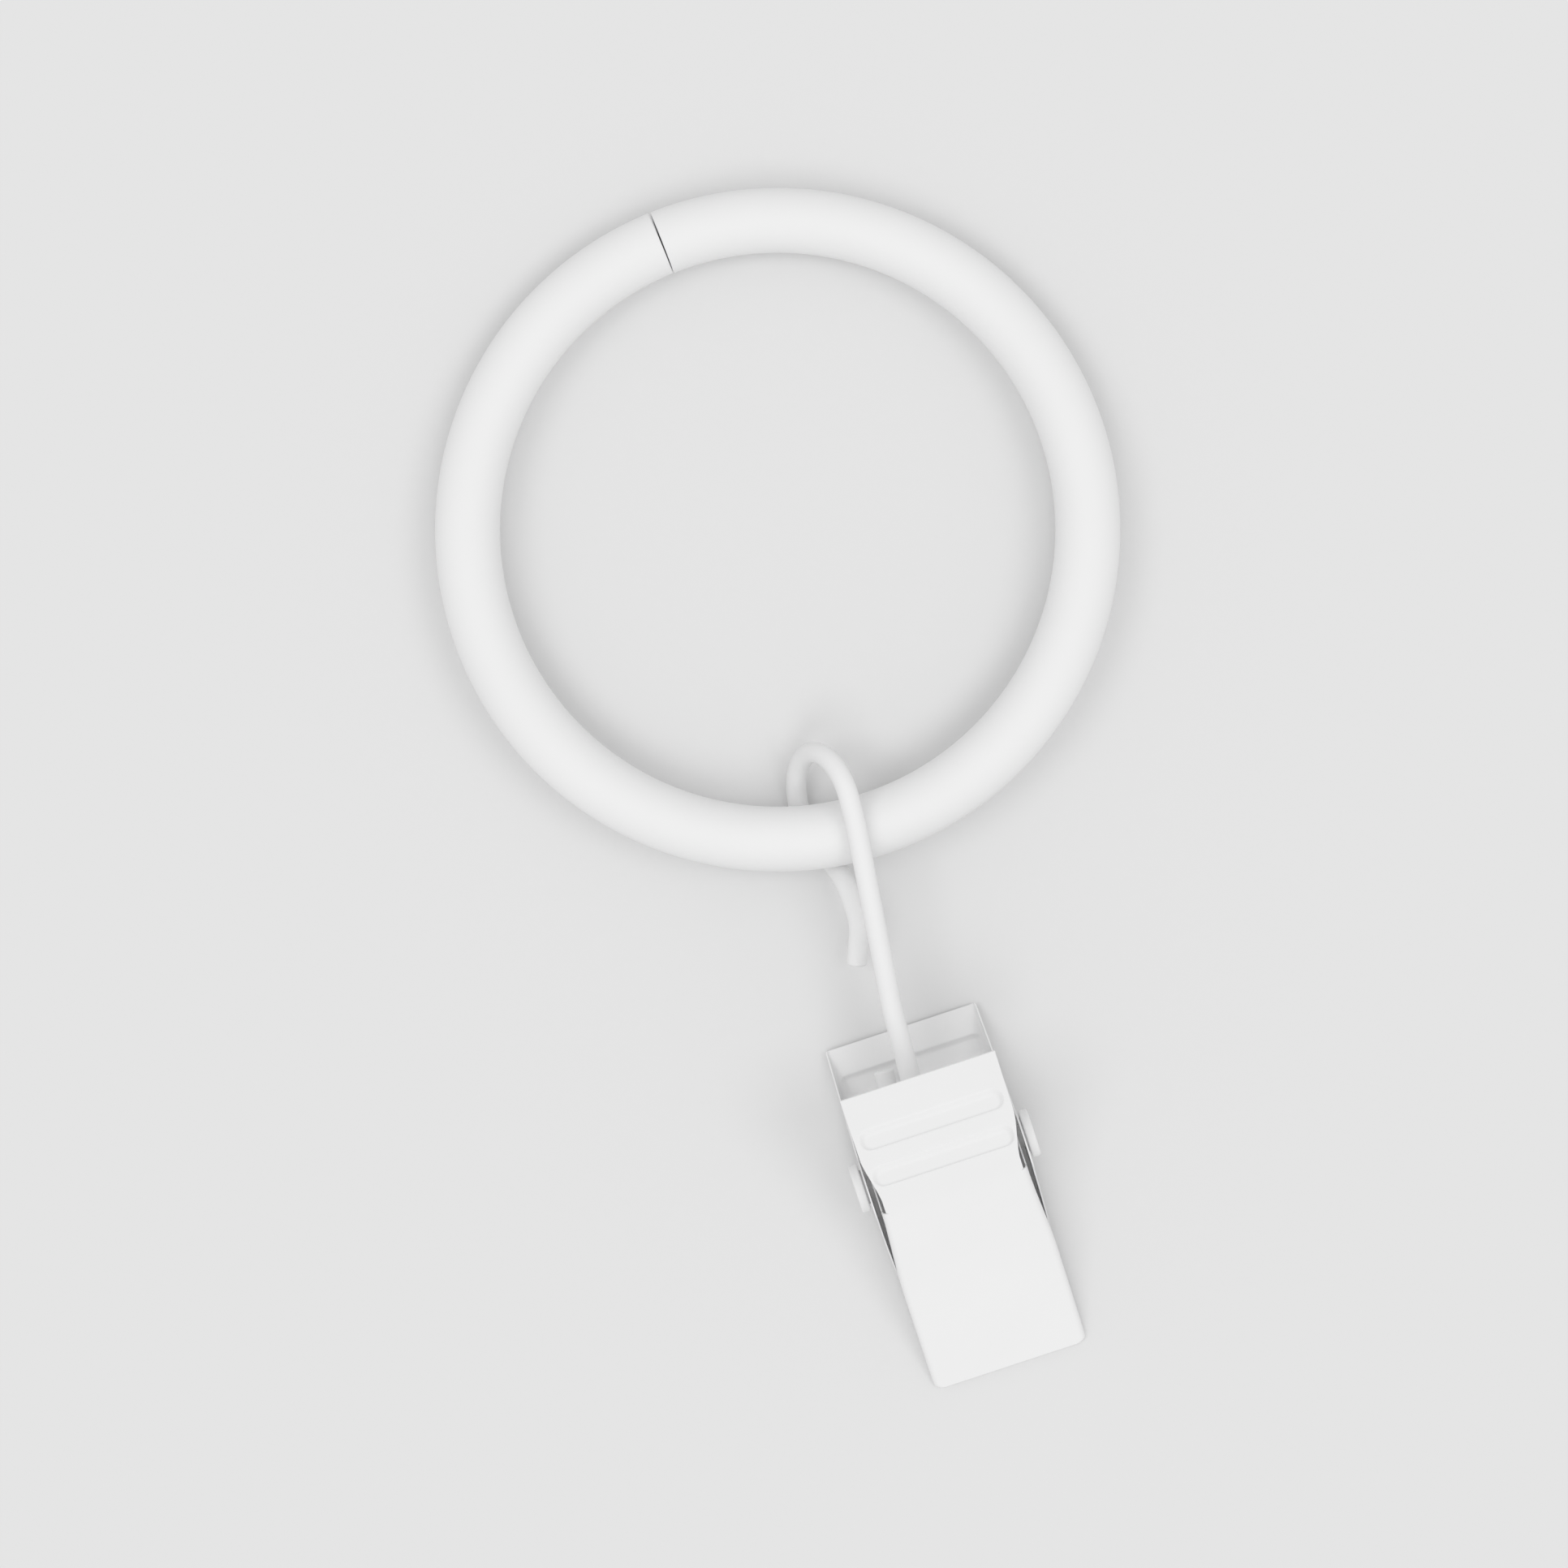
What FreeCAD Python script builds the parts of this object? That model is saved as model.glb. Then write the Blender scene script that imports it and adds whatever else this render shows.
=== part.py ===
"""Curtain ring with a spring clip: a round steel ring, a bent wire hook and a two-leaf clip.

The ring lies on a table with the hook and the clip beside it, all in millimetres.
X runs right, Y runs away from the clip, Z is up, and the origin is the ring's centre.
"""
import FreeCAD, Part
import math
import os
import re

import Sketcher
from FreeCAD import Placement, Rotation, Vector

SIZES = {
    # Ring: a round bar rolled into a circle, its two ends meeting in a butt seam.
    "ring_bore": 38.0,
    "bar_diameter": 4.45,
    "seam_gap": 0.1,
    "seam_heading": 112.1,
    "crossing_heading": -79.9,
    # Hook: one wire, an eye round the pin at one end and an open loop round the ring's bar.
    "wire_diameter": 1.4,
    "wire_end_round": 0.45,
    "loop_clearance": 0.18,
    "table_clearance": 0.05,
    "hook_heading": 14.6,
    "hook_lean": 28.5,
    "hook_reach": 23.6,
    "loop_beyond_bar": 5.75,
    "stem_over_bar": 0.12,
    "eye_half_width": 1.8,
    "eye_bend_radius": 1.75,
    "eye_offset": 1.73,
    "tail_length": 7.05,
    "stem_bend_share": 0.466,
    "stem_bend_past_bar": 0.4,
    "stem_bend_radius": 14.0,
    "shank_offset": 1.65,
    "throat_rise_angle": 46.0,
    "throat_before_bar": 3.4,
    "throat_side": 0.0,
    "throat_height": 2.95,
    "throat_end": 6.3,
    "throat_end_side": -0.25,
    "throat_radius": 2.4,
    "tip_reach": 9.1,
    "tip_side": 0.7,
    "tip_height": 2.2,
    "tip_radius": 4.0,
    "sway_radius": 3.0,
    "sway_lead": 0.75,
    # Pin: a shaft through all four ears, a shoulder and a disc head at each end.
    "pin_diameter": 1.6,
    "hole_clearance": 0.05,
    "head_diameter": 3.32,
    "head_thickness": 0.62,
    "head_round": 0.12,
    "shoulder_diameter": 2.8,
    "shoulder_thickness": 0.14,
    # Clip: two folded sheet leaves that share one side profile.
    "clip_heading": 18.2,
    "sheet_gauge": 0.15,
    "clip_width": 11.0,
    "grip_inset": 0.05,
    "grip_length": 10.0,
    "grip_angle": 17.15,
    "jaw_length": 14.53,
    "bend_ahead": 1.3,
    "bend_height": 3.15,
    "jaw_gap": 0.1,
    "fold_radius": 0.45,
    "lip_corner": 0.36,
    # Front leaf: its ears stand a little outside the waist of the grip and inside the back leaf's.
    "ear_gap": 0.3,
    "waist_inset": 0.3,
    "waist_share": 0.11,
    "taper_share": 0.37,
    "front_ear_half": 1.7,
    "front_ear_top": 2.6,
    "front_ear_drop": 0.42,
    "front_ear_round": 1.2,
    "front_flare_start": 0.8,
    "front_flare_end": 4.8,
    # Back leaf: its ears stand outside the front leaf's.
    "ear_outset": 0.15,
    "back_ear_ahead": 1.8,
    "back_ear_behind": 2.2,
    "back_ear_reach": 3.0,
    "back_ear_round": 1.1,
    "back_ramp_start": 4.2,
    "back_ramp_drop": 1.7,
    "back_grip_wall": 0.5,
    "back_flare_start": 2.6,
    "back_flare_end": 6.8,
    "back_fold_radius": 0.35,
    "back_corner": 0.35,
    # Finger beads pressed outwards across each grip.
    "front_bead_share": 0.36,
    "back_bead_share": 0.285,
    "bead_pitch_share": 0.315,
    "bead_width_share": 0.175,
    "bead_inset": 0.4,
    "bead_shortening": 0.1,
    "bead_relief": 0.35,
    "bead_round": 0.19,
    "bead_foot": 0.13,
    # Torsion spring round the pin, its two legs pushing the grips apart.
    "spring_wire": 0.45,
    "spring_radius": 1.36,
    "spring_pitch": 0.52,
    "spring_turns": 4,
    "spring_start": 0.6,
    "spring_leg_share": 0.46,
    "spring_leg_gap": 0.04,
}

# Sizes that follow from others: the nested ears from the clip's width, the beads from the grip's length.
FOLLOWS = {
    "grip_width": "clip_width - 2 * grip_inset",
    "back_ear_width": "clip_width + 2 * ear_outset",
    "front_ear_width": "back_ear_width - 2 * (sheet_gauge + ear_gap)",
    "waist_width": "front_ear_width - 2 * waist_inset",
    "waist_length": "grip_length * waist_share",
    "waist_taper": "grip_length * taper_share",
    "front_bead_from_end": "grip_length * front_bead_share",
    "back_bead_from_end": "grip_length * back_bead_share",
    "bead_pitch": "grip_length * bead_pitch_share",
    "bead_width": "grip_length * bead_width_share",
    "bead_length": "grip_width - 2 * bead_inset",
    "spring_leg": "grip_length * spring_leg_share",
}

doc = FreeCAD.newDocument("curtain_ring_with_clip")
sheet = doc.addObject("Spreadsheet::Sheet", "Sizes")
cells = {**SIZES, **{alias: f"={formula}" for alias, formula in FOLLOWS.items()}}
for row, (alias, content) in enumerate(cells.items(), start=1):
    sheet.set(f"A{row}", alias)
    sheet.set(f"B{row}", str(content))
    sheet.setAlias(f"B{row}", alias)
doc.recompute()

X_AXIS = Vector(1, 0, 0)
Y_AXIS = Vector(0, 1, 0)
Z_AXIS = Vector(0, 0, 1)
HALF_TURN = 180.0
FULL_TURN = 360.0
QUARTER_TURN = 90.0
NEAR = 1e-4


def value(formula):
    """Return what a formula of the sheet's aliases comes to, as a plain number."""
    return float(sheet.evalExpression(formula))


def bound(formula):
    """Return the formula with each alias pointing at the sheet, for setExpression."""
    return re.sub(r"[a-z_]+", lambda word: f"Sizes.{word[0]}" if word[0] in cells else word[0], formula)


def sine(degrees):
    """Return the sine of an angle in degrees."""
    return math.sin(math.radians(degrees))


def cosine(degrees):
    """Return the cosine of an angle in degrees."""
    return math.cos(math.radians(degrees))


def tangent(degrees):
    """Return the tangent of an angle in degrees."""
    return math.tan(math.radians(degrees))


# Sketches and features

def new_body(label):
    """Add an empty body that carries the sub-part's label."""
    body = doc.addObject("PartDesign::Body", label)
    body.Label = label
    return body


def new_sketch(body, name, plane, offset=None):
    """Add a sketch on one of the body's own origin planes, shifted or turned by offset."""
    sketch = body.newObject("Sketcher::SketchObject", name)
    support = next(item for item in body.Origin.OriginFeatures if item.Role == plane)
    sketch.AttachmentSupport = [(support, "")]
    sketch.MapMode = "FlatFace"
    if offset:
        sketch.AttachmentOffset = offset
    doc.recompute()
    return sketch


def pin_point(sketch, edge, end, across, up):
    """Hold one end of an edge at two distances from the sketch's origin, both from the sheet."""
    for kind, formula in (("DistanceX", across), ("DistanceY", up)):
        number = sketch.addConstraint(Sketcher.Constraint(kind, -1, 1, edge, end, value(formula)))
        sketch.setExpression(f"Constraints[{number}]", bound(formula))


def draw_polygon(sketch, corners):
    """Draw a closed polygon whose corners are pairs of formulas."""
    first = sketch.GeometryCount
    points = [Vector(value(across), value(up), 0) for across, up in corners]
    for index, point in enumerate(points):
        following = points[(index + 1) % len(points)]
        sketch.addGeometry(Part.LineSegment(point, following), False)
    for index, (across, up) in enumerate(corners):
        following = first + (index + 1) % len(corners)
        sketch.addConstraint(Sketcher.Constraint("Coincident", first + index, 2, following, 1))
        pin_point(sketch, first + index, 1, across, up)


def draw_circle(sketch, across, up, radius):
    """Draw a circle whose centre and radius are formulas."""
    centre = Vector(value(across), value(up), 0)
    edge = sketch.addGeometry(Part.Circle(centre, Z_AXIS, value(radius)), False)
    pin_point(sketch, edge, 3, across, up)
    number = sketch.addConstraint(Sketcher.Constraint("Radius", edge, value(radius)))
    sketch.setExpression(f"Constraints[{number}]", bound(radius))


def draw_slot(sketch, up, half_length, half_height):
    """Draw a stadium across the sketch at height up: two straight sides and two round ends."""
    reach = value(half_length) - value(half_height)
    middle = value(up)
    radius = value(half_height)
    above = sketch.addGeometry(Part.LineSegment(Vector(-reach, middle + radius, 0),
                                                Vector(reach, middle + radius, 0)), False)
    below = sketch.addGeometry(Part.LineSegment(Vector(reach, middle - radius, 0),
                                                Vector(-reach, middle - radius, 0)), False)
    right = sketch.addGeometry(Part.Arc(Vector(reach, middle + radius, 0), Vector(reach + radius, middle, 0),
                                        Vector(reach, middle - radius, 0)), False)
    left = sketch.addGeometry(Part.Arc(Vector(-reach, middle - radius, 0), Vector(-reach - radius, middle, 0),
                                       Vector(-reach, middle + radius, 0)), False)
    straight = f"{half_length} - ({half_height})"
    pin_point(sketch, above, 1, f"-({straight})", f"{up} + {half_height}")
    pin_point(sketch, above, 2, straight, f"{up} + {half_height}")
    pin_point(sketch, below, 1, straight, f"{up} - ({half_height})")
    pin_point(sketch, below, 2, f"-({straight})", f"{up} - ({half_height})")
    for arc, middle_of in ((right, straight), (left, f"-({straight})")):
        pin_point(sketch, arc, 3, middle_of, up)
    doc.recompute()


def extrude(body, kind, name, sketch, length, reverse=False, symmetric=False):
    """Pad or pocket a sketch by a formula's length and return the feature."""
    feature = body.newObject(f"PartDesign::{kind}", name)
    feature.Profile = sketch
    feature.Length = value(length)
    feature.setExpression("Length", bound(length))
    feature.Reversed = reverse
    if symmetric:
        feature.SideType = "Symmetric"
    before = body.Shape.Volume if kind == "Pocket" else 0.0
    doc.recompute()
    if kind == "Pocket" and feature.Shape.Volume > before - NEAR:
        raise ValueError(f"{name} cuts nothing")
    return feature


def round_edges(body, name, radius, wanted):
    """Fillet every edge of the body for which wanted(edge) is true."""
    base = body.Tip
    names = [f"Edge{number}" for number, edge in enumerate(base.Shape.Edges, start=1) if wanted(edge)]
    if not names:
        raise ValueError(f"{name} finds no edge")
    fillet = body.newObject("PartDesign::Fillet", name)
    fillet.Base = (base, names)
    fillet.Radius = value(radius)
    fillet.setExpression("Radius", bound(radius))
    doc.recompute()
    return fillet


def runs_along(edge, axis):
    """Say whether an edge is straight and runs along an axis."""
    if not isinstance(edge.Curve, Part.Line):
        return False
    return abs(abs(edge.Curve.Direction.dot(axis)) - 1) < NEAR


# Heights above the table and places of the hook and clip, worked out from the sheet

wire_radius = value("wire_diameter / 2")
bar_radius = value("bar_diameter / 2")
bar_circle_radius = value("(ring_bore + bar_diameter) / 2")
bar_to_wire = bar_radius + value("loop_clearance") + wire_radius
leg_height = wire_radius + value("table_clearance")
bar_height = leg_height + bar_to_wire
ring_tilt = math.degrees(math.asin((bar_height - bar_radius) / (2 * bar_circle_radius)))
ring_height = bar_radius + bar_circle_radius * sine(ring_tilt)

lip_height = value("jaw_gap / 2 + sheet_gauge")
jaw_angle = math.degrees(math.asin((value("bend_height") - lip_height) / value("jaw_length")))
grip_end_back = value("grip_length") * cosine(value("grip_angle")) - value("bend_ahead")
grip_end_height = value("bend_height") + value("grip_length") * sine(value("grip_angle"))
jaw_end_ahead = value("bend_ahead") + value("jaw_length") * cosine(jaw_angle)
crest_along = value("grip_length - back_bead_from_end + bead_width / 2 - bead_round")
crest_back = (crest_along * cosine(value("grip_angle")) - value("bead_relief") * sine(value("grip_angle"))
              - value("bend_ahead"))
crest_height = (value("bend_height") + crest_along * sine(value("grip_angle"))
                + value("bead_relief") * cosine(value("grip_angle")))
rest_back, rest_height = max(((crest_back, crest_height), (grip_end_back, grip_end_height)),
                             key=lambda foot: (foot[1] - lip_height) / (foot[0] + jaw_end_ahead))
clip_tilt = math.degrees(math.atan2(rest_height - lip_height, rest_back + jaw_end_ahead))
pin_height = rest_height * cosine(clip_tilt) - rest_back * sine(clip_tilt)

crossing = Vector(cosine(value("crossing_heading")), sine(value("crossing_heading")), 0)
along_hook = Vector(-sine(value("hook_heading")), cosine(value("hook_heading")), 0)
beside_hook = Vector(-cosine(value("hook_heading")), -sine(value("hook_heading")), 0)
along_pin = Vector(cosine(value("clip_heading")), sine(value("clip_heading")), 0)

stem_top_height = bar_height + bar_to_wire + value("stem_over_bar")
loop_low = (pin_height - leg_height) / cosine(value("hook_lean"))
loop_high = (pin_height - stem_top_height) / cosine(value("hook_lean"))
loop_radius = (loop_low - loop_high) / 2
loop_side = (loop_low + loop_high) / 2 * sine(value("hook_lean"))

bar_place = crossing * (bar_circle_radius * cosine(ring_tilt))
eye_place = bar_place - along_hook * value("hook_reach") - beside_hook * loop_side
pin_place = eye_place + along_pin * value("eye_offset")
table = -ring_height

# Curtain ring: the bar's round section swept round the ring, all but the seam

ring = new_body("curtain_ring")
bar_section = new_sketch(ring, "bar_section", "XZ_Plane")
draw_circle(bar_section, "(ring_bore + bar_diameter) / 2", "0", "bar_diameter / 2")
rolled_bar = ring.newObject("PartDesign::Revolution", "rolled_bar")
rolled_bar.Profile = bar_section
rolled_bar.ReferenceAxis = (bar_section, ["V_Axis"])
rolled_bar.Angle = FULL_TURN
doc.recompute()
seam_outline = new_sketch(ring, "seam_outline", "XY_Plane")
draw_polygon(seam_outline, [
    ("ring_bore / 2 - bar_diameter", "-seam_gap / 2"),
    ("ring_bore / 2 + bar_diameter * 2", "-seam_gap / 2"),
    ("ring_bore / 2 + bar_diameter * 2", "seam_gap / 2"),
    ("ring_bore / 2 - bar_diameter", "seam_gap / 2"),
])
extrude(ring, "Pocket", "seam", seam_outline, "bar_diameter * 2", symmetric=True)
tilt_axis = crossing.cross(Z_AXIS)
ring.Placement = Placement(Vector(0, 0, 0), Rotation(tilt_axis, ring_tilt)
                           .multiply(Rotation(Z_AXIS, value("seam_heading"))))


# Wire hook

def bend_wire(corners):
    """Join straight runs with tangent arcs: each corner is a point and the radius of its bend."""
    edges = []
    start = corners[0][0]
    for index in range(1, len(corners) - 1):
        corner, radius = corners[index]
        arriving = (corners[index - 1][0] - corner).normalize()
        leaving = (corners[index + 1][0] - corner).normalize()
        opening = arriving.getAngle(leaving)
        setback = radius / math.tan(opening / 2)
        middle = (arriving + leaving).normalize()
        bend_start = corner + arriving * setback
        bend_end = corner + leaving * setback
        bend_middle = corner + middle * (radius / math.sin(opening / 2) - radius)
        if (bend_start - start).Length > NEAR:
            edges.append(Part.LineSegment(start, bend_start).toShape())
        edges.append(Part.Arc(bend_start, bend_middle, bend_end).toShape())
        start = bend_end
    edges.append(Part.LineSegment(start, corners[-1][0]).toShape())
    return Part.Wire(edges)


def on_table(forward, side, height):
    """Return the place a length along the hook from the eye, to its side and above the table."""
    return (Vector(eye_place.x, eye_place.y, table + height)
            + along_hook * forward + beside_hook * side)


def in_loop(forward, drop):
    """Return a place in the leaning plane that the eye, the stem and the loop are bent in."""
    return on_table(forward, drop * sine(value("hook_lean")), pin_height - drop * cosine(value("hook_lean")))


reach = value("hook_reach")
eye_half = value("eye_half_width")
eye_bend = value("eye_bend_radius")
loop_top = reach + value("loop_beyond_bar")
leg_side = loop_low * sine(value("hook_lean"))
rise_angle = value("throat_rise_angle")
rise_start = reach - bar_to_wire * tangent(rise_angle / 2)
sway_start = loop_top - loop_radius - value("sway_lead")
throat_start = reach - value("throat_before_bar")
sway = (leg_side - value("throat_side")) / (sway_start - throat_start)
rise_side = leg_side - sway * (sway_start - rise_start)
hook_corners = [
    (in_loop(value("tail_length"), eye_half), 0),
    (in_loop(-eye_half, eye_half), eye_bend),
    (in_loop(-eye_half, -eye_half), eye_bend),
    (in_loop(reach * value("stem_bend_share"), -value("shank_offset")), value("stem_bend_radius")),
    (in_loop(reach + value("stem_bend_past_bar"), loop_high), value("stem_bend_radius")),
    (in_loop(loop_top, loop_high), loop_radius),
    (in_loop(loop_top, loop_low), loop_radius),
    (on_table(sway_start, leg_side, leg_height), value("sway_radius")),
    (on_table(rise_start, rise_side, leg_height), bar_to_wire),
    (on_table(throat_start, value("throat_side"), value("throat_height")), value("throat_radius")),
    (on_table(reach - value("throat_end"), value("throat_end_side"), value("throat_height")),
     value("tip_radius")),
    (on_table(reach - value("tip_reach"), value("tip_side"), value("tip_height")), 0),
]
hook_line = doc.addObject("Part::Feature", "hook_line")
hook_line.Shape = bend_wire(hook_corners)
hook_start = hook_corners[0][0]
wire_section = doc.addObject("Part::Circle", "wire_section")
wire_section.setExpression("Radius", bound("wire_diameter / 2"))
wire_section.Placement = Placement(hook_start, Rotation(Z_AXIS, hook_corners[1][0] - hook_start))
drawn_wire = doc.addObject("Part::Sweep", "drawn_wire")
drawn_wire.Sections = [wire_section]
drawn_wire.Spine = (hook_line, [f"Edge{number}" for number in range(1, len(hook_line.Shape.Edges) + 1)])
drawn_wire.Solid = True
drawn_wire.Frenet = False
doc.recompute()
hook = doc.addObject("Part::Fillet", "wire_hook")
hook.Label = "wire_hook"
hook.Base = drawn_wire
wire_ends = (hook_start, hook_corners[-1][0])
end_round = value("wire_end_round")
hook.Edges = [(number, end_round, end_round) for number, edge in enumerate(drawn_wire.Shape.Edges, start=1)
              if min((edge.CenterOfMass - end).Length for end in wire_ends) < NEAR]
doc.recompute()


# Clip leaves: Y runs from the jaw to the grip, Z out of the leaf, and the pin lies on X

GRIP_PLANE = Placement(Vector(0, -value("bend_ahead"), value("bend_height")),
                       Rotation(X_AXIS, value("grip_angle")))
JAW_PLANE = Placement(Vector(0, -value("bend_ahead"), value("bend_height")),
                      Rotation(X_AXIS, jaw_angle))


def inside(plane):
    """Return the plane moved inwards by the sheet's gauge."""
    return plane.multiply(Placement(Vector(0, 0, -value("sheet_gauge")), Rotation()))


def mirrored(side):
    """Close an outline: the corners given run up the right side, and come back down the left."""
    return side + [(f"-({across})", up) for across, up in reversed(side)]


def jaw_outline(ear_width, flare_start, flare_end, behind, inset):
    """Return the jaw's outline in its own plane, from its lip back past the ears."""
    wide = f"clip_width / 2 - {inset}"
    narrow = f"{ear_width} / 2 - {inset}"
    lip = "-jaw_length" if inset == "0" else "-jaw_length + sheet_gauge"
    return mirrored([(wide, lip), (wide, f"-{flare_end}"), (narrow, f"-{flare_start}"), (narrow, behind)])


def press_beads(body, from_end):
    """Raise the two finger beads from the grip, softened at crest and foot, and hollow inside."""
    places = [f"grip_length - {from_end} - {number} * bead_pitch" for number in range(2)]
    reaches = [f"(bead_length - {number} * bead_shortening) / 2" for number in range(2)]
    for number, (place, reach) in enumerate(zip(places, reaches)):
        raised = new_sketch(body, f"bead_{number}_outline", "XY_Plane", GRIP_PLANE)
        draw_slot(raised, place, reach, "bead_width / 2")
        extrude(body, "Pad", f"bead_{number}", raised, "bead_relief")
    outward = GRIP_PLANE.Rotation.multVec(Z_AXIS)
    upward = GRIP_PLANE.Rotation.multVec(Y_AXIS)

    def lies_at(edge, height):
        return all(abs((point.Point - GRIP_PLANE.Base).dot(outward) - height) < NEAR for point in edge.Vertexes)

    def on_crest(edge):
        return lies_at(edge, value("bead_relief"))

    def on_foot(edge):
        along = (edge.CenterOfMass - GRIP_PLANE.Base).dot(upward)
        beside = min(abs(along - value(place)) for place in places)
        inner = abs(edge.CenterOfMass.x) < value("bead_length / 2") + NEAR
        return lies_at(edge, 0) and inner and beside < value("bead_width / 2") + NEAR

    round_edges(body, "bead_round", "bead_round", on_crest)
    round_edges(body, "bead_foot", "bead_foot", on_foot)
    for number, (place, reach) in enumerate(zip(places, reaches)):
        hollow = new_sketch(body, f"bead_{number}_hollow_outline", "XY_Plane", inside(GRIP_PLANE))
        draw_slot(hollow, place, f"{reach} - sheet_gauge", "bead_width / 2 - sheet_gauge")
        extrude(body, "Pocket", f"bead_{number}_hollow", hollow, "bead_relief", reverse=True)


def trim_side(body, name, corners):
    """Cut away all that lies outside a side outline, right across the leaf."""
    outline = new_sketch(body, f"{name}_outline", "YZ_Plane")
    frame_up = "bend_height + grip_length"
    frame_along = "grip_length + jaw_length"
    frame = [(f"-({frame_along})", f"-({frame_up})"), (frame_along, f"-({frame_up})"),
             (frame_along, f"{frame_up} + bead_pitch"), (f"-({frame_along})", f"{frame_up} + bead_pitch")]
    draw_polygon(outline, frame)
    draw_polygon(outline, corners)
    extrude(body, "Pocket", name, outline, "clip_width * 2", symmetric=True)


def drill_ears(body):
    """Drill the pin's hole through both ears."""
    hole = new_sketch(body, "pin_hole_outline", "YZ_Plane")
    draw_circle(hole, "0", "0", "pin_diameter / 2 + hole_clearance")
    extrude(body, "Pocket", "pin_hole", hole, "clip_width * 2", symmetric=True)


def round_folds(body, name, planes, radius, half_width_from):
    """Round the folded long edges of a leaf, those that lie in the planes' own surfaces."""
    def on_fold(edge):
        lies_in = any(all(abs((point.Point - plane.Base).dot(plane.Rotation.multVec(Z_AXIS))) < NEAR
                          for point in edge.Vertexes) for plane in planes)
        ends = [point.Point.x for point in edge.Vertexes]
        return lies_in and abs(edge.CenterOfMass.x) > half_width_from and ends[0] * ends[-1] > 0

    return round_edges(body, name, radius, on_fold)


def round_lip(body):
    """Cut the two corners of the jaw's lip to a round."""
    waste = new_sketch(body, "lip_corners_outline", "XY_Plane", JAW_PLANE)
    for side, first_angle in (("", -QUARTER_TURN), ("-", HALF_TURN)):
        edge, past_edge = f"{side}(clip_width / 2)", f"{side}(clip_width / 2 + lip_corner)"
        inner = f"{side}(clip_width / 2 - lip_corner)"
        outline = [(edge, "-jaw_length + lip_corner"), (past_edge, "-jaw_length + lip_corner"),
                   (past_edge, "-jaw_length - lip_corner"), (inner, "-jaw_length - lip_corner"),
                   (inner, "-jaw_length")]
        points = [Vector(value(across), value(up), 0) for across, up in outline]
        first = waste.GeometryCount
        for start, end in zip(points, points[1:]):
            waste.addGeometry(Part.LineSegment(start, end), False)
        centre = Vector(points[-1].x, points[0].y, 0)
        arc = waste.addGeometry(Part.ArcOfCircle(Part.Circle(centre, Z_AXIS, value("lip_corner")),
                                                 math.radians(first_angle),
                                                 math.radians(first_angle + QUARTER_TURN)), False)
        for number, (across, up) in enumerate(outline[:-1]):
            pin_point(waste, first + number, 1, across, up)
        reach = waste.addConstraint(Sketcher.Constraint("DistanceX", -1, 1, arc - 1, 2, value(inner)))
        waste.setExpression(f"Constraints[{reach}]", bound(inner))
        for number in range(first, arc - 1):
            waste.addConstraint(Sketcher.Constraint("Coincident", number, 2, number + 1, 1))
        ends = {True: (1, 2), False: (2, 1)}[(waste.Geometry[arc].StartPoint - points[-1]).Length < NEAR]
        waste.addConstraint(Sketcher.Constraint("Coincident", arc, ends[0], arc - 1, 2))
        waste.addConstraint(Sketcher.Constraint("Coincident", arc, ends[1], first, 1))
        pin_point(waste, arc, 3, inner, "-jaw_length + lip_corner")
    extrude(body, "Pocket", "lip_corners", waste, BLOCK_DEPTH)


BLOCK_DEPTH = "bend_height * 3"

# Front leaf: a plain-edged grip with a waist, and a jaw whose sides fold down into the ears

front = new_body("clip_front")
front_behind = "(bend_ahead + front_ear_half + fold_radius)"
front_block = new_sketch(front, "jaw_block_outline", "XY_Plane", JAW_PLANE)
draw_polygon(front_block, jaw_outline("front_ear_width", "front_flare_start", "front_flare_end",
                                      front_behind, "0"))
extrude(front, "Pad", "jaw_block", front_block, BLOCK_DEPTH, reverse=True)
front_cavity = new_sketch(front, "jaw_cavity_outline", "XY_Plane", inside(JAW_PLANE))
draw_polygon(front_cavity, jaw_outline("front_ear_width", "front_flare_start", "front_flare_end",
                                       f"{front_behind} * 2", "sheet_gauge"))
extrude(front, "Pocket", "jaw_cavity", front_cavity, f"{BLOCK_DEPTH} * 2")
round_folds(front, "inner_folds", [inside(JAW_PLANE)], "fold_radius - sheet_gauge", value("clip_width / 4"))
round_folds(front, "folds", [JAW_PLANE], "fold_radius", value("clip_width / 4"))
trim_side(front, "jaw_sides", [
    ("-bend_ahead", "bend_height + grip_length"),
    ("-(jaw_length + bead_pitch)", "bend_height + grip_length"),
    ("-(jaw_length + bead_pitch)", "jaw_gap / 2"),
    ("-front_ear_half", "jaw_gap / 2"),
    ("-front_ear_half", "-front_ear_half"),
    ("front_ear_half", "-front_ear_half"),
    ("front_ear_half", "front_ear_half - front_ear_drop"),
    ("-bend_ahead + sheet_gauge", "front_ear_top"),
    ("-bend_ahead", "front_ear_top"),
])


def ear_end(edge):
    """Say whether an edge is one of a front ear's square corners round the pin."""
    middle = edge.CenterOfMass
    return runs_along(edge, X_AXIS) and middle.z < value("front_ear_half") and abs(
        abs(middle.y) - value("front_ear_half")) < NEAR and abs(middle.z - lip_height / 2) > lip_height


round_edges(front, "ear_rounds", "front_ear_round", ear_end)
grip_outline = new_sketch(front, "grip_outline", "XY_Plane", GRIP_PLANE)
draw_polygon(grip_outline, mirrored([
    ("waist_width / 2", "-sheet_gauge"),
    ("waist_width / 2", "waist_length"),
    ("grip_width / 2", "waist_length + waist_taper"),
    ("grip_width / 2", "grip_length"),
]))
extrude(front, "Pad", "grip", grip_outline, "sheet_gauge", reverse=True)
round_lip(front)
press_beads(front, "front_bead_from_end")
drill_ears(front)

# Back leaf: grip and jaw both fold up along their sides, and the ears stand tall outside

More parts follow.
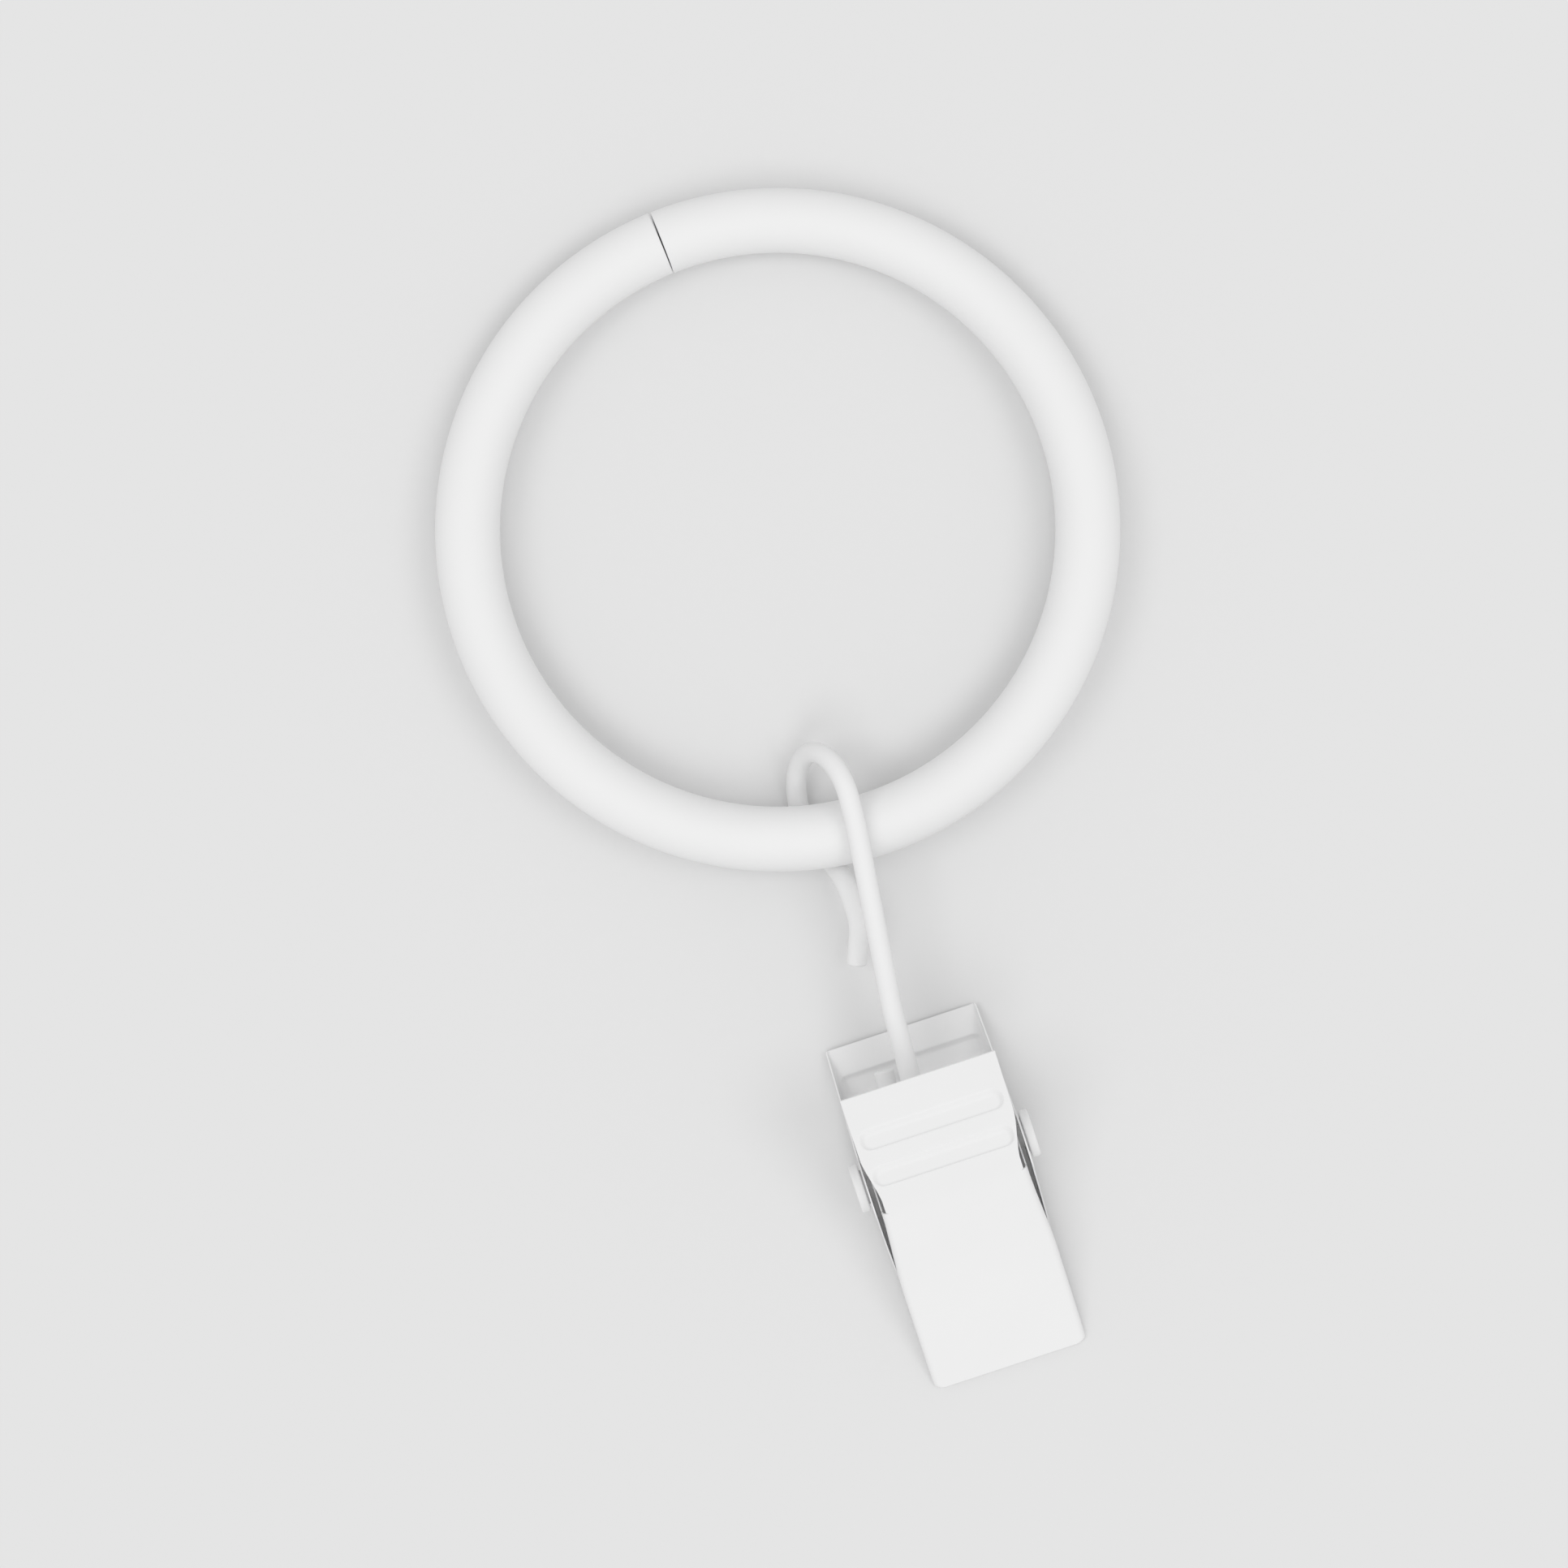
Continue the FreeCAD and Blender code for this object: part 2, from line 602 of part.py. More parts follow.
back = new_body("clip_back")
back_behind = "bend_ahead + back_ear_behind"
grip_hollow = mirrored([
    ("back_ear_width / 2 - sheet_gauge", "-bend_ahead"),
    ("back_ear_width / 2 - sheet_gauge", back_behind),
    ("grip_width / 2 - sheet_gauge", "grip_length + sheet_gauge"),
])
back_block = new_sketch(back, "jaw_block_outline", "XY_Plane", JAW_PLANE)
draw_polygon(back_block, jaw_outline("back_ear_width", "back_flare_start", "back_flare_end",
                                     "bend_ahead", "0"))
extrude(back, "Pad", "jaw_block", back_block, BLOCK_DEPTH, reverse=True)
grip_block = new_sketch(back, "grip_block_outline", "XY_Plane", GRIP_PLANE)
draw_polygon(grip_block, mirrored([
    ("back_ear_width / 2", "0"),
    ("back_ear_width / 2", back_behind),
    ("grip_width / 2", "grip_length"),
]))
extrude(back, "Pad", "grip_block", grip_block, BLOCK_DEPTH, reverse=True)


def grip_corner(edge):
    """Say whether an edge stands square to the grip at one of its two far corners."""
    square = runs_along(edge, GRIP_PLANE.Rotation.multVec(Z_AXIS))
    along = (edge.CenterOfMass - GRIP_PLANE.Base).dot(GRIP_PLANE.Rotation.multVec(Y_AXIS))
    return square and abs(along - value("grip_length")) < NEAR


round_folds(back, "folds", [JAW_PLANE, GRIP_PLANE], "back_fold_radius", value("clip_width / 4"))
round_edges(back, "grip_corners", "back_corner", grip_corner)
back_cavity = new_sketch(back, "jaw_cavity_outline", "XY_Plane", inside(JAW_PLANE))
draw_polygon(back_cavity, jaw_outline("back_ear_width", "back_flare_start", "back_flare_end",
                                      "bend_ahead", "sheet_gauge"))
extrude(back, "Pocket", "jaw_cavity", back_cavity, f"{BLOCK_DEPTH} * 2")
grip_cavity = new_sketch(back, "grip_cavity_outline", "XY_Plane", inside(GRIP_PLANE))
draw_polygon(grip_cavity, grip_hollow)
extrude(back, "Pocket", "grip_cavity", grip_cavity, f"{BLOCK_DEPTH} * 2")
trim_side(back, "sides", [
    ("grip_length * 2", "bend_height + grip_length"),
    ("-(jaw_length + bead_pitch)", "bend_height + grip_length"),
    ("-(jaw_length + bead_pitch)", "jaw_gap / 2"),
    ("-back_ramp_start", "jaw_gap / 2"),
    ("-back_ear_ahead", "-back_ramp_drop"),
    ("-back_ear_ahead", "-back_ear_reach"),
    ("back_ear_behind", "-back_ear_reach"),
    ("back_ear_behind", "-back_grip_wall"),
    (f"{grip_end_back}", f"{grip_end_height} - sheet_gauge * 2"),
    ("grip_length * 2", f"{grip_end_height} - sheet_gauge * 2"),
])


def ear_corner(edge):
    """Say whether an edge is one of the back ears' two tall corners."""
    middle = edge.CenterOfMass
    beside = min(abs(middle.y + value("back_ear_ahead")), abs(middle.y - value("back_ear_behind")))
    return runs_along(edge, X_AXIS) and beside < NEAR and abs(middle.z + value("back_ear_reach")) < NEAR


round_edges(back, "ear_rounds", "back_ear_round", ear_corner)
round_lip(back)
press_beads(back, "back_bead_from_end")
drill_ears(back)

clip_turn = Rotation(Z_AXIS, value("clip_heading")).multiply(Rotation(X_AXIS, clip_tilt))
pin_centre = Vector(pin_place.x, pin_place.y, table + pin_height)
front.Placement = Placement(pin_centre, clip_turn)
back.Placement = Placement(pin_centre, clip_turn.multiply(Rotation(Y_AXIS, HALF_TURN)))

# Pivot pin: half its section turned about its own axis

pin = new_body("pivot_pin")
pin_section = new_sketch(pin, "pin_section", "XY_Plane")
shoulder_at = "back_ear_width / 2"
head_at = "back_ear_width / 2 + shoulder_thickness"
pin_end = "back_ear_width / 2 + shoulder_thickness + head_thickness"
half_section = [
    (pin_end, "0"),
    (pin_end, "head_diameter / 2"),
    (head_at, "head_diameter / 2"),
    (head_at, "shoulder_diameter / 2"),
    (shoulder_at, "shoulder_diameter / 2"),
    (shoulder_at, "pin_diameter / 2"),
]
draw_polygon(pin_section, mirrored(half_section))
turned_pin = pin.newObject("PartDesign::Revolution", "turned_pin")
turned_pin.Profile = pin_section
turned_pin.ReferenceAxis = (pin_section, ["H_Axis"])
turned_pin.Angle = FULL_TURN
doc.recompute()
round_edges(pin, "head_rounds", "head_round",
            lambda edge: abs(edge.Length - value("pi * head_diameter")) < NEAR)
pin.Placement = Placement(pin_centre, clip_turn)

# Jaw spring: a coil round the pin between the hook's eye and the right ear

leg_room = (value("bend_height") * cosine(value("grip_angle")) + value("bend_ahead") * sine(value("grip_angle"))
            - value("sheet_gauge") - value("spring_wire / 2") - value("spring_leg_gap"))
leg_angle = value("grip_angle") + math.degrees(
    math.asin((leg_room - value("spring_radius")) / value("spring_leg")))
spring = new_body("jaw_spring")
coil_angle = FULL_TURN * value("spring_turns") + HALF_TURN - 2 * leg_angle


def radial_plane(angle):
    """Return a plane through the pin's axis, turned about it by an angle."""
    return Placement(Vector(0, 0, 0), Rotation(X_AXIS, angle))


front_leg_start = new_sketch(spring, "front_leg_section", "XY_Plane", radial_plane(QUARTER_TURN + leg_angle))
draw_circle(front_leg_start, "spring_start", "spring_radius", "spring_wire / 2")
coil = spring.newObject("PartDesign::AdditiveHelix", "coil")
coil.Profile = front_leg_start
coil.ReferenceAxis = (front_leg_start, ["H_Axis"])
coil.Mode = "pitch-turns-angle"
coil.Pitch = value("spring_pitch")
coil.Turns = coil_angle / FULL_TURN
doc.recompute()
extrude(spring, "Pad", "front_leg", front_leg_start, "spring_leg", reverse=True)
back_leg_start = new_sketch(spring, "back_leg_section", "XY_Plane",
                            radial_plane(QUARTER_TURN + leg_angle + coil_angle))
draw_circle(back_leg_start, f"spring_start + spring_pitch * {coil_angle / FULL_TURN}",
            "spring_radius", "spring_wire / 2")
extrude(spring, "Pad", "back_leg", back_leg_start, "spring_leg")
spring.Placement = Placement(pin_centre, clip_turn)
doc.recompute()

# Every object has to be sound before anything is written

PARTS = [ring, hook, front, back, pin, spring]
for item in doc.Objects:
    if {"Invalid", "Error"} & set(item.State):
        raise ValueError(f"{item.Name} failed: {item.State}")
for part in PARTS:
    if part.Shape.isNull() or not part.Shape.isValid() or len(part.Shape.Solids) != 1:
        raise ValueError(f"{part.Label} is not one sound solid: {len(part.Shape.Solids)}")

os.makedirs("parts", exist_ok=True)
for part in PARTS:
    part.Shape.exportStep(f"parts/{part.Label}.step")
    box = part.Shape.BoundBox
    print(f"{part.Label}: {part.Shape.Volume:.2f} mm3, z {box.ZMin - table:.3f} to {box.ZMax - table:.3f}")
print(f"pin centre {pin_centre}, table {table:.4f}, bar {bar_place}, tilt {ring_tilt:.3f}, clip {clip_tilt:.3f}")
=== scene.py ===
import logging
import math
from dataclasses import dataclass, field
from enum import Enum

import bmesh
import bpy
import numpy as np
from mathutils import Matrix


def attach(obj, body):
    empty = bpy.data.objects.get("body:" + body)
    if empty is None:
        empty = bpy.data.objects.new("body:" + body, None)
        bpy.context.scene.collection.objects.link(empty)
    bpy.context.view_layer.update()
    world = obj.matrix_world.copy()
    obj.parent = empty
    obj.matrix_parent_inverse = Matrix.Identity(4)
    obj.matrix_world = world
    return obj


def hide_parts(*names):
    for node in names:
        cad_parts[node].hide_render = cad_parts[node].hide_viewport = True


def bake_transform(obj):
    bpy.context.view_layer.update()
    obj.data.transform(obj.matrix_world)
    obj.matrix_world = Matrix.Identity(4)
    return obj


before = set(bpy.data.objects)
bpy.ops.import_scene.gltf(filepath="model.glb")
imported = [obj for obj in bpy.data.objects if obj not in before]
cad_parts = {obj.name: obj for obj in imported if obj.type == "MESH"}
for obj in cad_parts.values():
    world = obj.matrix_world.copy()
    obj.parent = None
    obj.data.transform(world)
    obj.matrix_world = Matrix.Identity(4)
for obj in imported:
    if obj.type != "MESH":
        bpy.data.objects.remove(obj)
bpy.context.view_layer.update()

# A curtain ring with a spring clip, lying on a pale table and seen from straight above.
#
# Every piece is a surface worked out with numpy: a tube carried along a bent path, a turned profile
# or a folded sheet. Lengths are written in millimetres and become metres when a mesh is made.

LOG = logging.getLogger("curtain_ring")
MM = 0.001
QUARTER_TURN = math.pi / 2
WHOLE_TURN = 2 * math.pi
UP = np.array([0.0, 0.0, 1.0])
NO_TRIANGLES = np.zeros((0, 3), dtype=int)

# Points nearer than this are one point
CLOSE = 0.0001
# Half the distance between the two rows at which a wall's foot steps up or down
SLIVER = 0.002
# The share of a path's step below which a point is left out
CROWDED = 0.05
# Rows on a wire's rounded end, and the fewest points on a bend
END_ROWS = 7
BEND_POINTS = 4
# An arc as near to half a turn as this, in radians, has no single plane
HALF_TURN_MARGIN = 1e-6
# The value that a noise texture varies about
NOISE_MEAN = 0.5


class Body(Enum):
    """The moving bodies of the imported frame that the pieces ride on."""

    RING = "ring"
    HOOK = "hook"
    CLIP = "clip"
    FRONT_LEAF = "front_leaf"


# Small helpers for vectors and angles

def sine(degrees: float) -> float:
    """Return the sine of an angle in degrees."""
    return math.sin(math.radians(degrees))


def cosine(degrees: float) -> float:
    """Return the cosine of an angle in degrees."""
    return math.cos(math.radians(degrees))


def heading(degrees: float) -> np.ndarray:
    """Return the level unit vector at an angle from +X towards +Y."""
    return np.array([cosine(degrees), sine(degrees), 0.0])


def unit(vectors: np.ndarray) -> np.ndarray:
    """Return vectors of any leading shape scaled to length one."""
    return vectors / np.linalg.norm(vectors, axis=-1, keepdims=True)


def turn_about_x(degrees: float) -> np.ndarray:
    """Return the 3 by 3 matrix of a turn about X."""
    c, s = cosine(degrees), sine(degrees)
    return np.array([[1.0, 0.0, 0.0], [0.0, c, -s], [0.0, s, c]])


def turn_about_z(degrees: float) -> np.ndarray:
    """Return the 3 by 3 matrix of a turn about Z."""
    c, s = cosine(degrees), sine(degrees)
    return np.array([[c, -s, 0.0], [s, c, 0.0], [0.0, 0.0, 1.0]])


def corner_shortfall(near: np.ndarray, radius: float) -> np.ndarray:
    """Return how far a round corner falls short of a square one.

    At a distance d from the corner's side it is r - sqrt(r^2 - (r - d)^2), and nothing beyond r.

    Args:
        near: Distances from the corner's side.
        radius: The corner's radius.

    Returns:
        Array of the shape of near.
    """
    d = np.clip(near, 0.0, radius)
    return radius - np.sqrt(np.maximum(radius ** 2 - (radius - d) ** 2, 0.0))


def eased(s: np.ndarray, places: tuple[float, float], values: tuple[float, float]) -> np.ndarray:
    """Return a ramp whose two ends ease in: half even, half 3 t^2 - 2 t^3.

    Args:
        s: Places along the ramp.
        places: Where it starts and ends.
        values: Its values there, which it keeps beyond.

    Returns:
        Array of the shape of s.
    """
    t = np.clip((s - places[0]) / (places[1] - places[0]), 0.0, 1.0)
    return values[0] + (values[1] - values[0]) * (t + t * t * (3 - 2 * t)) / 2


# Surfaces and meshes

def make_object(name: str, vertices: np.ndarray, quads: np.ndarray,
                triangles: np.ndarray = NO_TRIANGLES) -> bpy.types.Object:
    """Put vertices, quads and triangles into a new smooth-shaded object.

    Args:
        name: The new object's name.
        vertices: Array of shape (count, 3), in millimetres.
        quads: Array of shape (count, 4) of vertex numbers.
        triangles: Array of shape (count, 3) of vertex numbers.

    Returns:
        The new object, linked to the scene.
    """
    mesh = bpy.data.meshes.new(name)
    corners = np.concatenate([quads.ravel(), triangles.ravel()])
    sizes = np.concatenate([np.full(len(quads), 4), np.full(len(triangles), 3)])
    mesh.vertices.add(len(vertices))
    mesh.vertices.foreach_set("co", (vertices * MM).astype(np.float32).ravel())
    mesh.loops.add(len(corners))
    mesh.loops.foreach_set("vertex_index", corners.astype(np.int32))
    mesh.polygons.add(len(sizes))
    mesh.polygons.foreach_set("loop_start", (np.cumsum(sizes) - sizes).astype(np.int32))
    mesh.polygons.foreach_set("use_smooth", np.ones(len(sizes), dtype=bool))
    mesh.update(calc_edges=True)
    mesh.validate()
    piece = bpy.data.objects.new(name, mesh)
    bpy.context.scene.collection.objects.link(piece)
    return piece


def mesh_from_grid(name: str, points: np.ndarray, closed: bool = True) -> bpy.types.Object:
    """Make a smooth object from a grid of points, row by row.

    Quad (i, j) joins the points (i, j), (i, j+1), (i+1, j+1) and (i+1, j). In a closed grid the
    last column joins the first, and a fan of triangles joins each end row to its own mean point.

    Args:
        name: The new object's name.
        points: Array of shape (rows, columns, 3), in millimetres.
        closed: Whether the surface is closed all round and at both ends.

    Returns:
        The new object, linked to the scene, with its place in its mesh.
    """
    rows, columns = points.shape[:2]
    index = np.arange(rows * columns).reshape(rows, columns)
    following = np.roll(index, -1, axis=1)
    if not closed:
        index, following = index[:, :-1], following[:, :-1]
    quads = np.stack([index[:-1], following[:-1], following[1:], index[1:]], axis=-1)
    vertices, fans = points.reshape(-1, 3), NO_TRIANGLES
    if closed:
        first, last = rows * columns, rows * columns + 1
        vertices = np.vstack([vertices, points[0].mean(axis=0), points[-1].mean(axis=0)])
        start = np.stack([following[0], index[0], np.full(columns, first)], axis=-1)
        end = np.stack([index[-1], following[-1], np.full(columns, last)], axis=-1)
        fans = np.vstack([start, end])
    return make_object(name, vertices, quads.reshape(-1, 4), fans)


def bent_path(corners: np.ndarray, radii: np.ndarray, step: float) -> np.ndarray:
    """Return points along straight runs whose corners are replaced by tangent arcs.

    At a corner c with unit directions a and b to its neighbours and an opening angle w, the arc of
    radius r has its centre at c + (a + b) / |a + b| * r / sin(w / 2) and touches both runs at
    r / tan(w / 2) from c.

    Args:
        corners: Array of shape (count, 3): the path's corners and two ends.
        radii: The bend's radius at each corner; the two ends' values are not used.
        step: The length between neighbouring points.

    Returns:
        Array of shape (points, 3).
    """
    pieces = []
    here = corners[0]
    for before, corner, after, radius in zip(corners, corners[1:], corners[2:], radii[1:]):
        arriving, leaving = unit(before - corner), unit(after - corner)
        opening = math.acos(float(arriving @ leaving))
        setback = radius / math.tan(opening / 2)
        centre = corner + unit(arriving + leaving) * radius / math.sin(opening / 2)
        start, end = corner + arriving * setback, corner + leaving * setback
        pieces.append(straight_points(here, start, step))
        pieces.append(arc_points(centre, start, end, step))
        here = end
    pieces.append(straight_points(here, corners[-1], step))
    points = np.vstack(pieces + [corners[-1:]])
    apart = np.linalg.norm(np.diff(points, axis=0, prepend=points[:1] - UP), axis=1)
    return points[apart > step * CROWDED]


def straight_points(start: np.ndarray, end: np.ndarray, step: float) -> np.ndarray:
    """Return evenly spaced points from start up to, but without, end."""
    count = max(1, math.ceil(float(np.linalg.norm(end - start)) / step))
    return start + (end - start) * (np.arange(count) / count)[:, None]


def arc_points(centre: np.ndarray, start: np.ndarray, end: np.ndarray, step: float) -> np.ndarray:
    """Return points on the shorter arc from start up to, but without, end.

    The point at fraction t of an arc of angle w is
    centre + (sin((1 - t) w) s + sin(t w) e) / sin(w), where s and e run from the centre to the
    arc's ends.

    Args:
        centre: The arc's centre.
        start: The arc's first point.
        end: The arc's last point.
        step: The most that two neighbouring points are apart.

    Returns:
        Array of shape (points, 3).
    """
    s, e = start - centre, end - centre
    radius = float(np.linalg.norm(s))
    angle = math.acos(max(-1.0, min(1.0, float(s @ e) / radius ** 2)))
    if math.pi - angle < HALF_TURN_MARGIN:
        raise ValueError("a bend of half a turn has no single plane")
    count = max(BEND_POINTS, math.ceil(radius * angle / step))
    t = (np.arange(count) / count)[:, None] * angle
    return centre + (np.sin(angle - t) * s + np.sin(t) * e) / math.sin(angle)


def tube(path: np.ndarray, reference: np.ndarray, radius: float, rounding: float,
         sides: int) -> np.ndarray:
    """Carry a circle along a path and round its two ends.

    The point at path point p and angle u is p + r(p) (cos u * n + sin u * b), where b is the
    reference less its part along the path's direction, and n is b crossed with that direction.

    Args:
        path: Array of shape (points, 3).
        reference: A direction that is never along the path.
        radius: The tube's radius.
        rounding: The radius of the round at each end.
        sides: How many points go round the tube.

    Returns:
        Array of shape (rows, sides, 3).
    """
    lengths = np.concatenate([[0.0], np.cumsum(np.linalg.norm(np.diff(path, axis=0), axis=1))])
    fine = rounding * (1 - np.cos(np.linspace(0.0, QUARTER_TURN, END_ROWS)))
    inner = lengths[(lengths > rounding) & (lengths < lengths[-1] - rounding)]
    stations = np.concatenate([fine, inner, (lengths[-1] - fine)[::-1]])
    placed = np.stack([np.interp(stations, lengths, path[:, axis]) for axis in range(3)], axis=-1)
    along = unit(np.gradient(placed, stations, axis=0))
    b = unit(reference - along * (along @ reference)[:, None])
    n = np.cross(b, along)
    u = np.linspace(0.0, WHOLE_TURN, sides, endpoint=False)[None, :, None]
    circle = np.cos(u) * n[:, None, :] + np.sin(u) * b[:, None, :]
    radii = radius - corner_shortfall(np.minimum(stations, stations[-1] - stations), rounding)
    return placed[:, None, :] + radii[:, None, None] * circle


def turned(profile: np.ndarray, sides: int) -> np.ndarray:
    """Turn a profile about the X axis.

    The point at profile point (x, r) and angle u is (x, r cos u, r sin u).

    Args:
        profile: Array of shape (points, 2): the place along X and the radius.
        sides: How many points go round.

    Returns:
        Array of shape (points, sides, 3).
    """
    u = np.linspace(0.0, WHOLE_TURN, sides, endpoint=False)
    x, r = np.broadcast_to(profile[:, :1], (len(profile), sides)), profile[:, 1:]
    return np.stack([x, r * np.cos(u), r * np.sin(u)], axis=-1)


def rim_quads(quads: np.ndarray, count: int) -> np.ndarray:
    """Return a quad from every edge that one quad alone has down to that edge's copy.

    Args:
        quads: Array of shape (faces, 4) of vertex numbers.
        count: How far a vertex's copy is numbered behind it.

    Returns:
        Array of shape (rims, 4) of vertex numbers.
    """
    edges = np.stack([quads, np.roll(quads, -1, axis=1)], axis=-1).reshape(-1, 2)
    keys = edges.min(axis=1) * count + edges.max(axis=1)
    _, first, uses = np.unique(keys, return_index=True, return_counts=True)
    a, b = edges[first[uses == 1]].T
    return np.stack([b, a, a + count, b + count], axis=-1)


def join_close_points(piece: bpy.types.Object) -> None:
    """Merge the points of a piece that lie in one place."""
    shape = bmesh.new()
    shape.from_mesh(piece.data)
    bmesh.ops.remove_doubles(shape, verts=shape.verts, dist=CLOSE * MM)
    shape.to_mesh(piece.data)
    shape.free()


# How the ring, the hook and the clip lie on the table

@dataclass(frozen=True)
class Layout:
    """Sizes that the pieces share and the places that follow, in millimetres and degrees."""

    ring_bore: float = 38.0
    bar_diameter: float = 4.45
    crossing_heading: float = -79.9
    wire_diameter: float = 1.4
    loop_clearance: float = 0.18
    table_clearance: float = 0.05
    hook_heading: float = 14.6
    hook_lean: float = 28.5
    hook_reach: float = 23.6
    stem_over_bar: float = 0.12
    eye_offset: float = 1.73
    clip_heading: float = 18.2
    clip_tilt: float = 14.515
    pin_height: float = 4.0852
    sheet: float = 0.1
    bend_ahead: float = 1.3
    bend_height: float = 3.15
    grip_angle: float = 17.15

    @property
    def wire_radius(self) -> float:
        """Half the hook wire's thickness."""
        return self.wire_diameter / 2

    @property
    def bar_radius(self) -> float:
        """Half the ring bar's thickness."""
        return self.bar_diameter / 2

    @property
    def bar_circle(self) -> float:
        """The radius of the circle that the bar's middle follows."""
        return (self.ring_bore + self.bar_diameter) / 2

    @property
    def bar_to_wire(self) -> float:
        """From the bar's middle to the wire's middle inside the loop."""
        return self.bar_radius + self.loop_clearance + self.wire_radius

    @property
    def leg_height(self) -> float:
        """The height of the free leg's middle where it lies on the table."""
        return self.wire_radius + self.table_clearance

    @property
    def bar_height(self) -> float:
        """The height of the bar's middle where the hook crosses it."""
        return self.leg_height + self.bar_to_wire

    @property
    def ring_tilt(self) -> float:
        """How far the ring leans, in degrees: its bar lies on the free leg at the crossing."""
        return math.degrees(math.asin((self.bar_height - self.bar_radius) / (2 * self.bar_circle)))

    @property
    def table(self) -> float:
        """The table's height in the frame."""
        return -(self.bar_radius + self.bar_circle * sine(self.ring_tilt))

    @property
    def along_hook(self) -> np.ndarray:
        """The level direction from the hook's eye to its loop."""
        return heading(self.hook_heading + 90.0)

    @property
    def beside_hook(self) -> np.ndarray:
        """The level direction to the left of the hook."""
        return heading(self.hook_heading + 180.0)

    @property
    def loop_low(self) -> float:
        """How far the loop's lower leg lies below the eye, down the leaning plane."""
        return (self.pin_height - self.leg_height) / cosine(self.hook_lean)

    @property
    def loop_high(self) -> float:
        """How far the loop's upper leg lies below the eye, down the leaning plane."""
        top = self.bar_height + self.bar_to_wire + self.stem_over_bar
        return (self.pin_height - top) / cosine(self.hook_lean)

    @property
    def eye(self) -> np.ndarray:
        """The place on the table below the middle of the hook's eye."""
        bar = heading(self.crossing_heading) * self.bar_circle * cosine(self.ring_tilt)
        side = (self.loop_low + self.loop_high) / 2 * sine(self.hook_lean)
        return bar - self.along_hook * self.hook_reach - self.beside_hook * side

    @property
    def pin(self) -> np.ndarray:
        """The middle of the pin's axis."""
        beside_eye = heading(self.clip_heading) * self.eye_offset
        return self.eye + beside_eye + UP * (self.table + self.pin_height)

    @property
    def clip_turn(self) -> np.ndarray:
        """The turn from the clip's own axes, with X along the pin and Y to the grips."""
        return turn_about_z(self.clip_heading) @ turn_about_x(self.clip_tilt)

    def in_clip(self, points: np.ndarray) -> np.ndarray:
        """Return points given in the clip's own axes, put in their place."""
        return points @ self.clip_turn.T + self.pin


@dataclass
class SplitRing:
    """The round bar rolled into a ring, its two ends meeting in a butt seam."""

    layout: Layout
    seam_heading: float = 112.1
    seam_gap: float = 0.1
    end_round: float = 0.1
    rows: int = 400
    sides: int = 72

    def build(self) -> bpy.types.Object:
        """Return the ring: a circle carried round an open arc in a plane that leans a little.

        The bar's middle at angle w from the crossing is R (cos w * c + sin w * s), where c points
        at the crossing, raised by the lean, and s is level and square to it.

        Returns:
            The ring's object.
        """
        layout = self.layout
        crossing = heading(layout.crossing_heading)
        c = crossing * cosine(layout.ring_tilt) + UP * sine(layout.ring_tilt)
        s = np.cross(UP, crossing)
        seam = math.radians(self.seam_heading - layout.crossing_heading)
        half_gap = self.seam_gap / 2 / layout.bar_circle
        w = np.linspace(seam + half_gap, seam + WHOLE_TURN - half_gap, self.rows)[:, None]
        path = layout.bar_circle * (np.cos(w) * c + np.sin(w) * s)
        surface = tube(path, np.cross(c, s), layout.bar_radius, self.end_round, self.sides)
        return mesh_from_grid("ring_bar", surface)


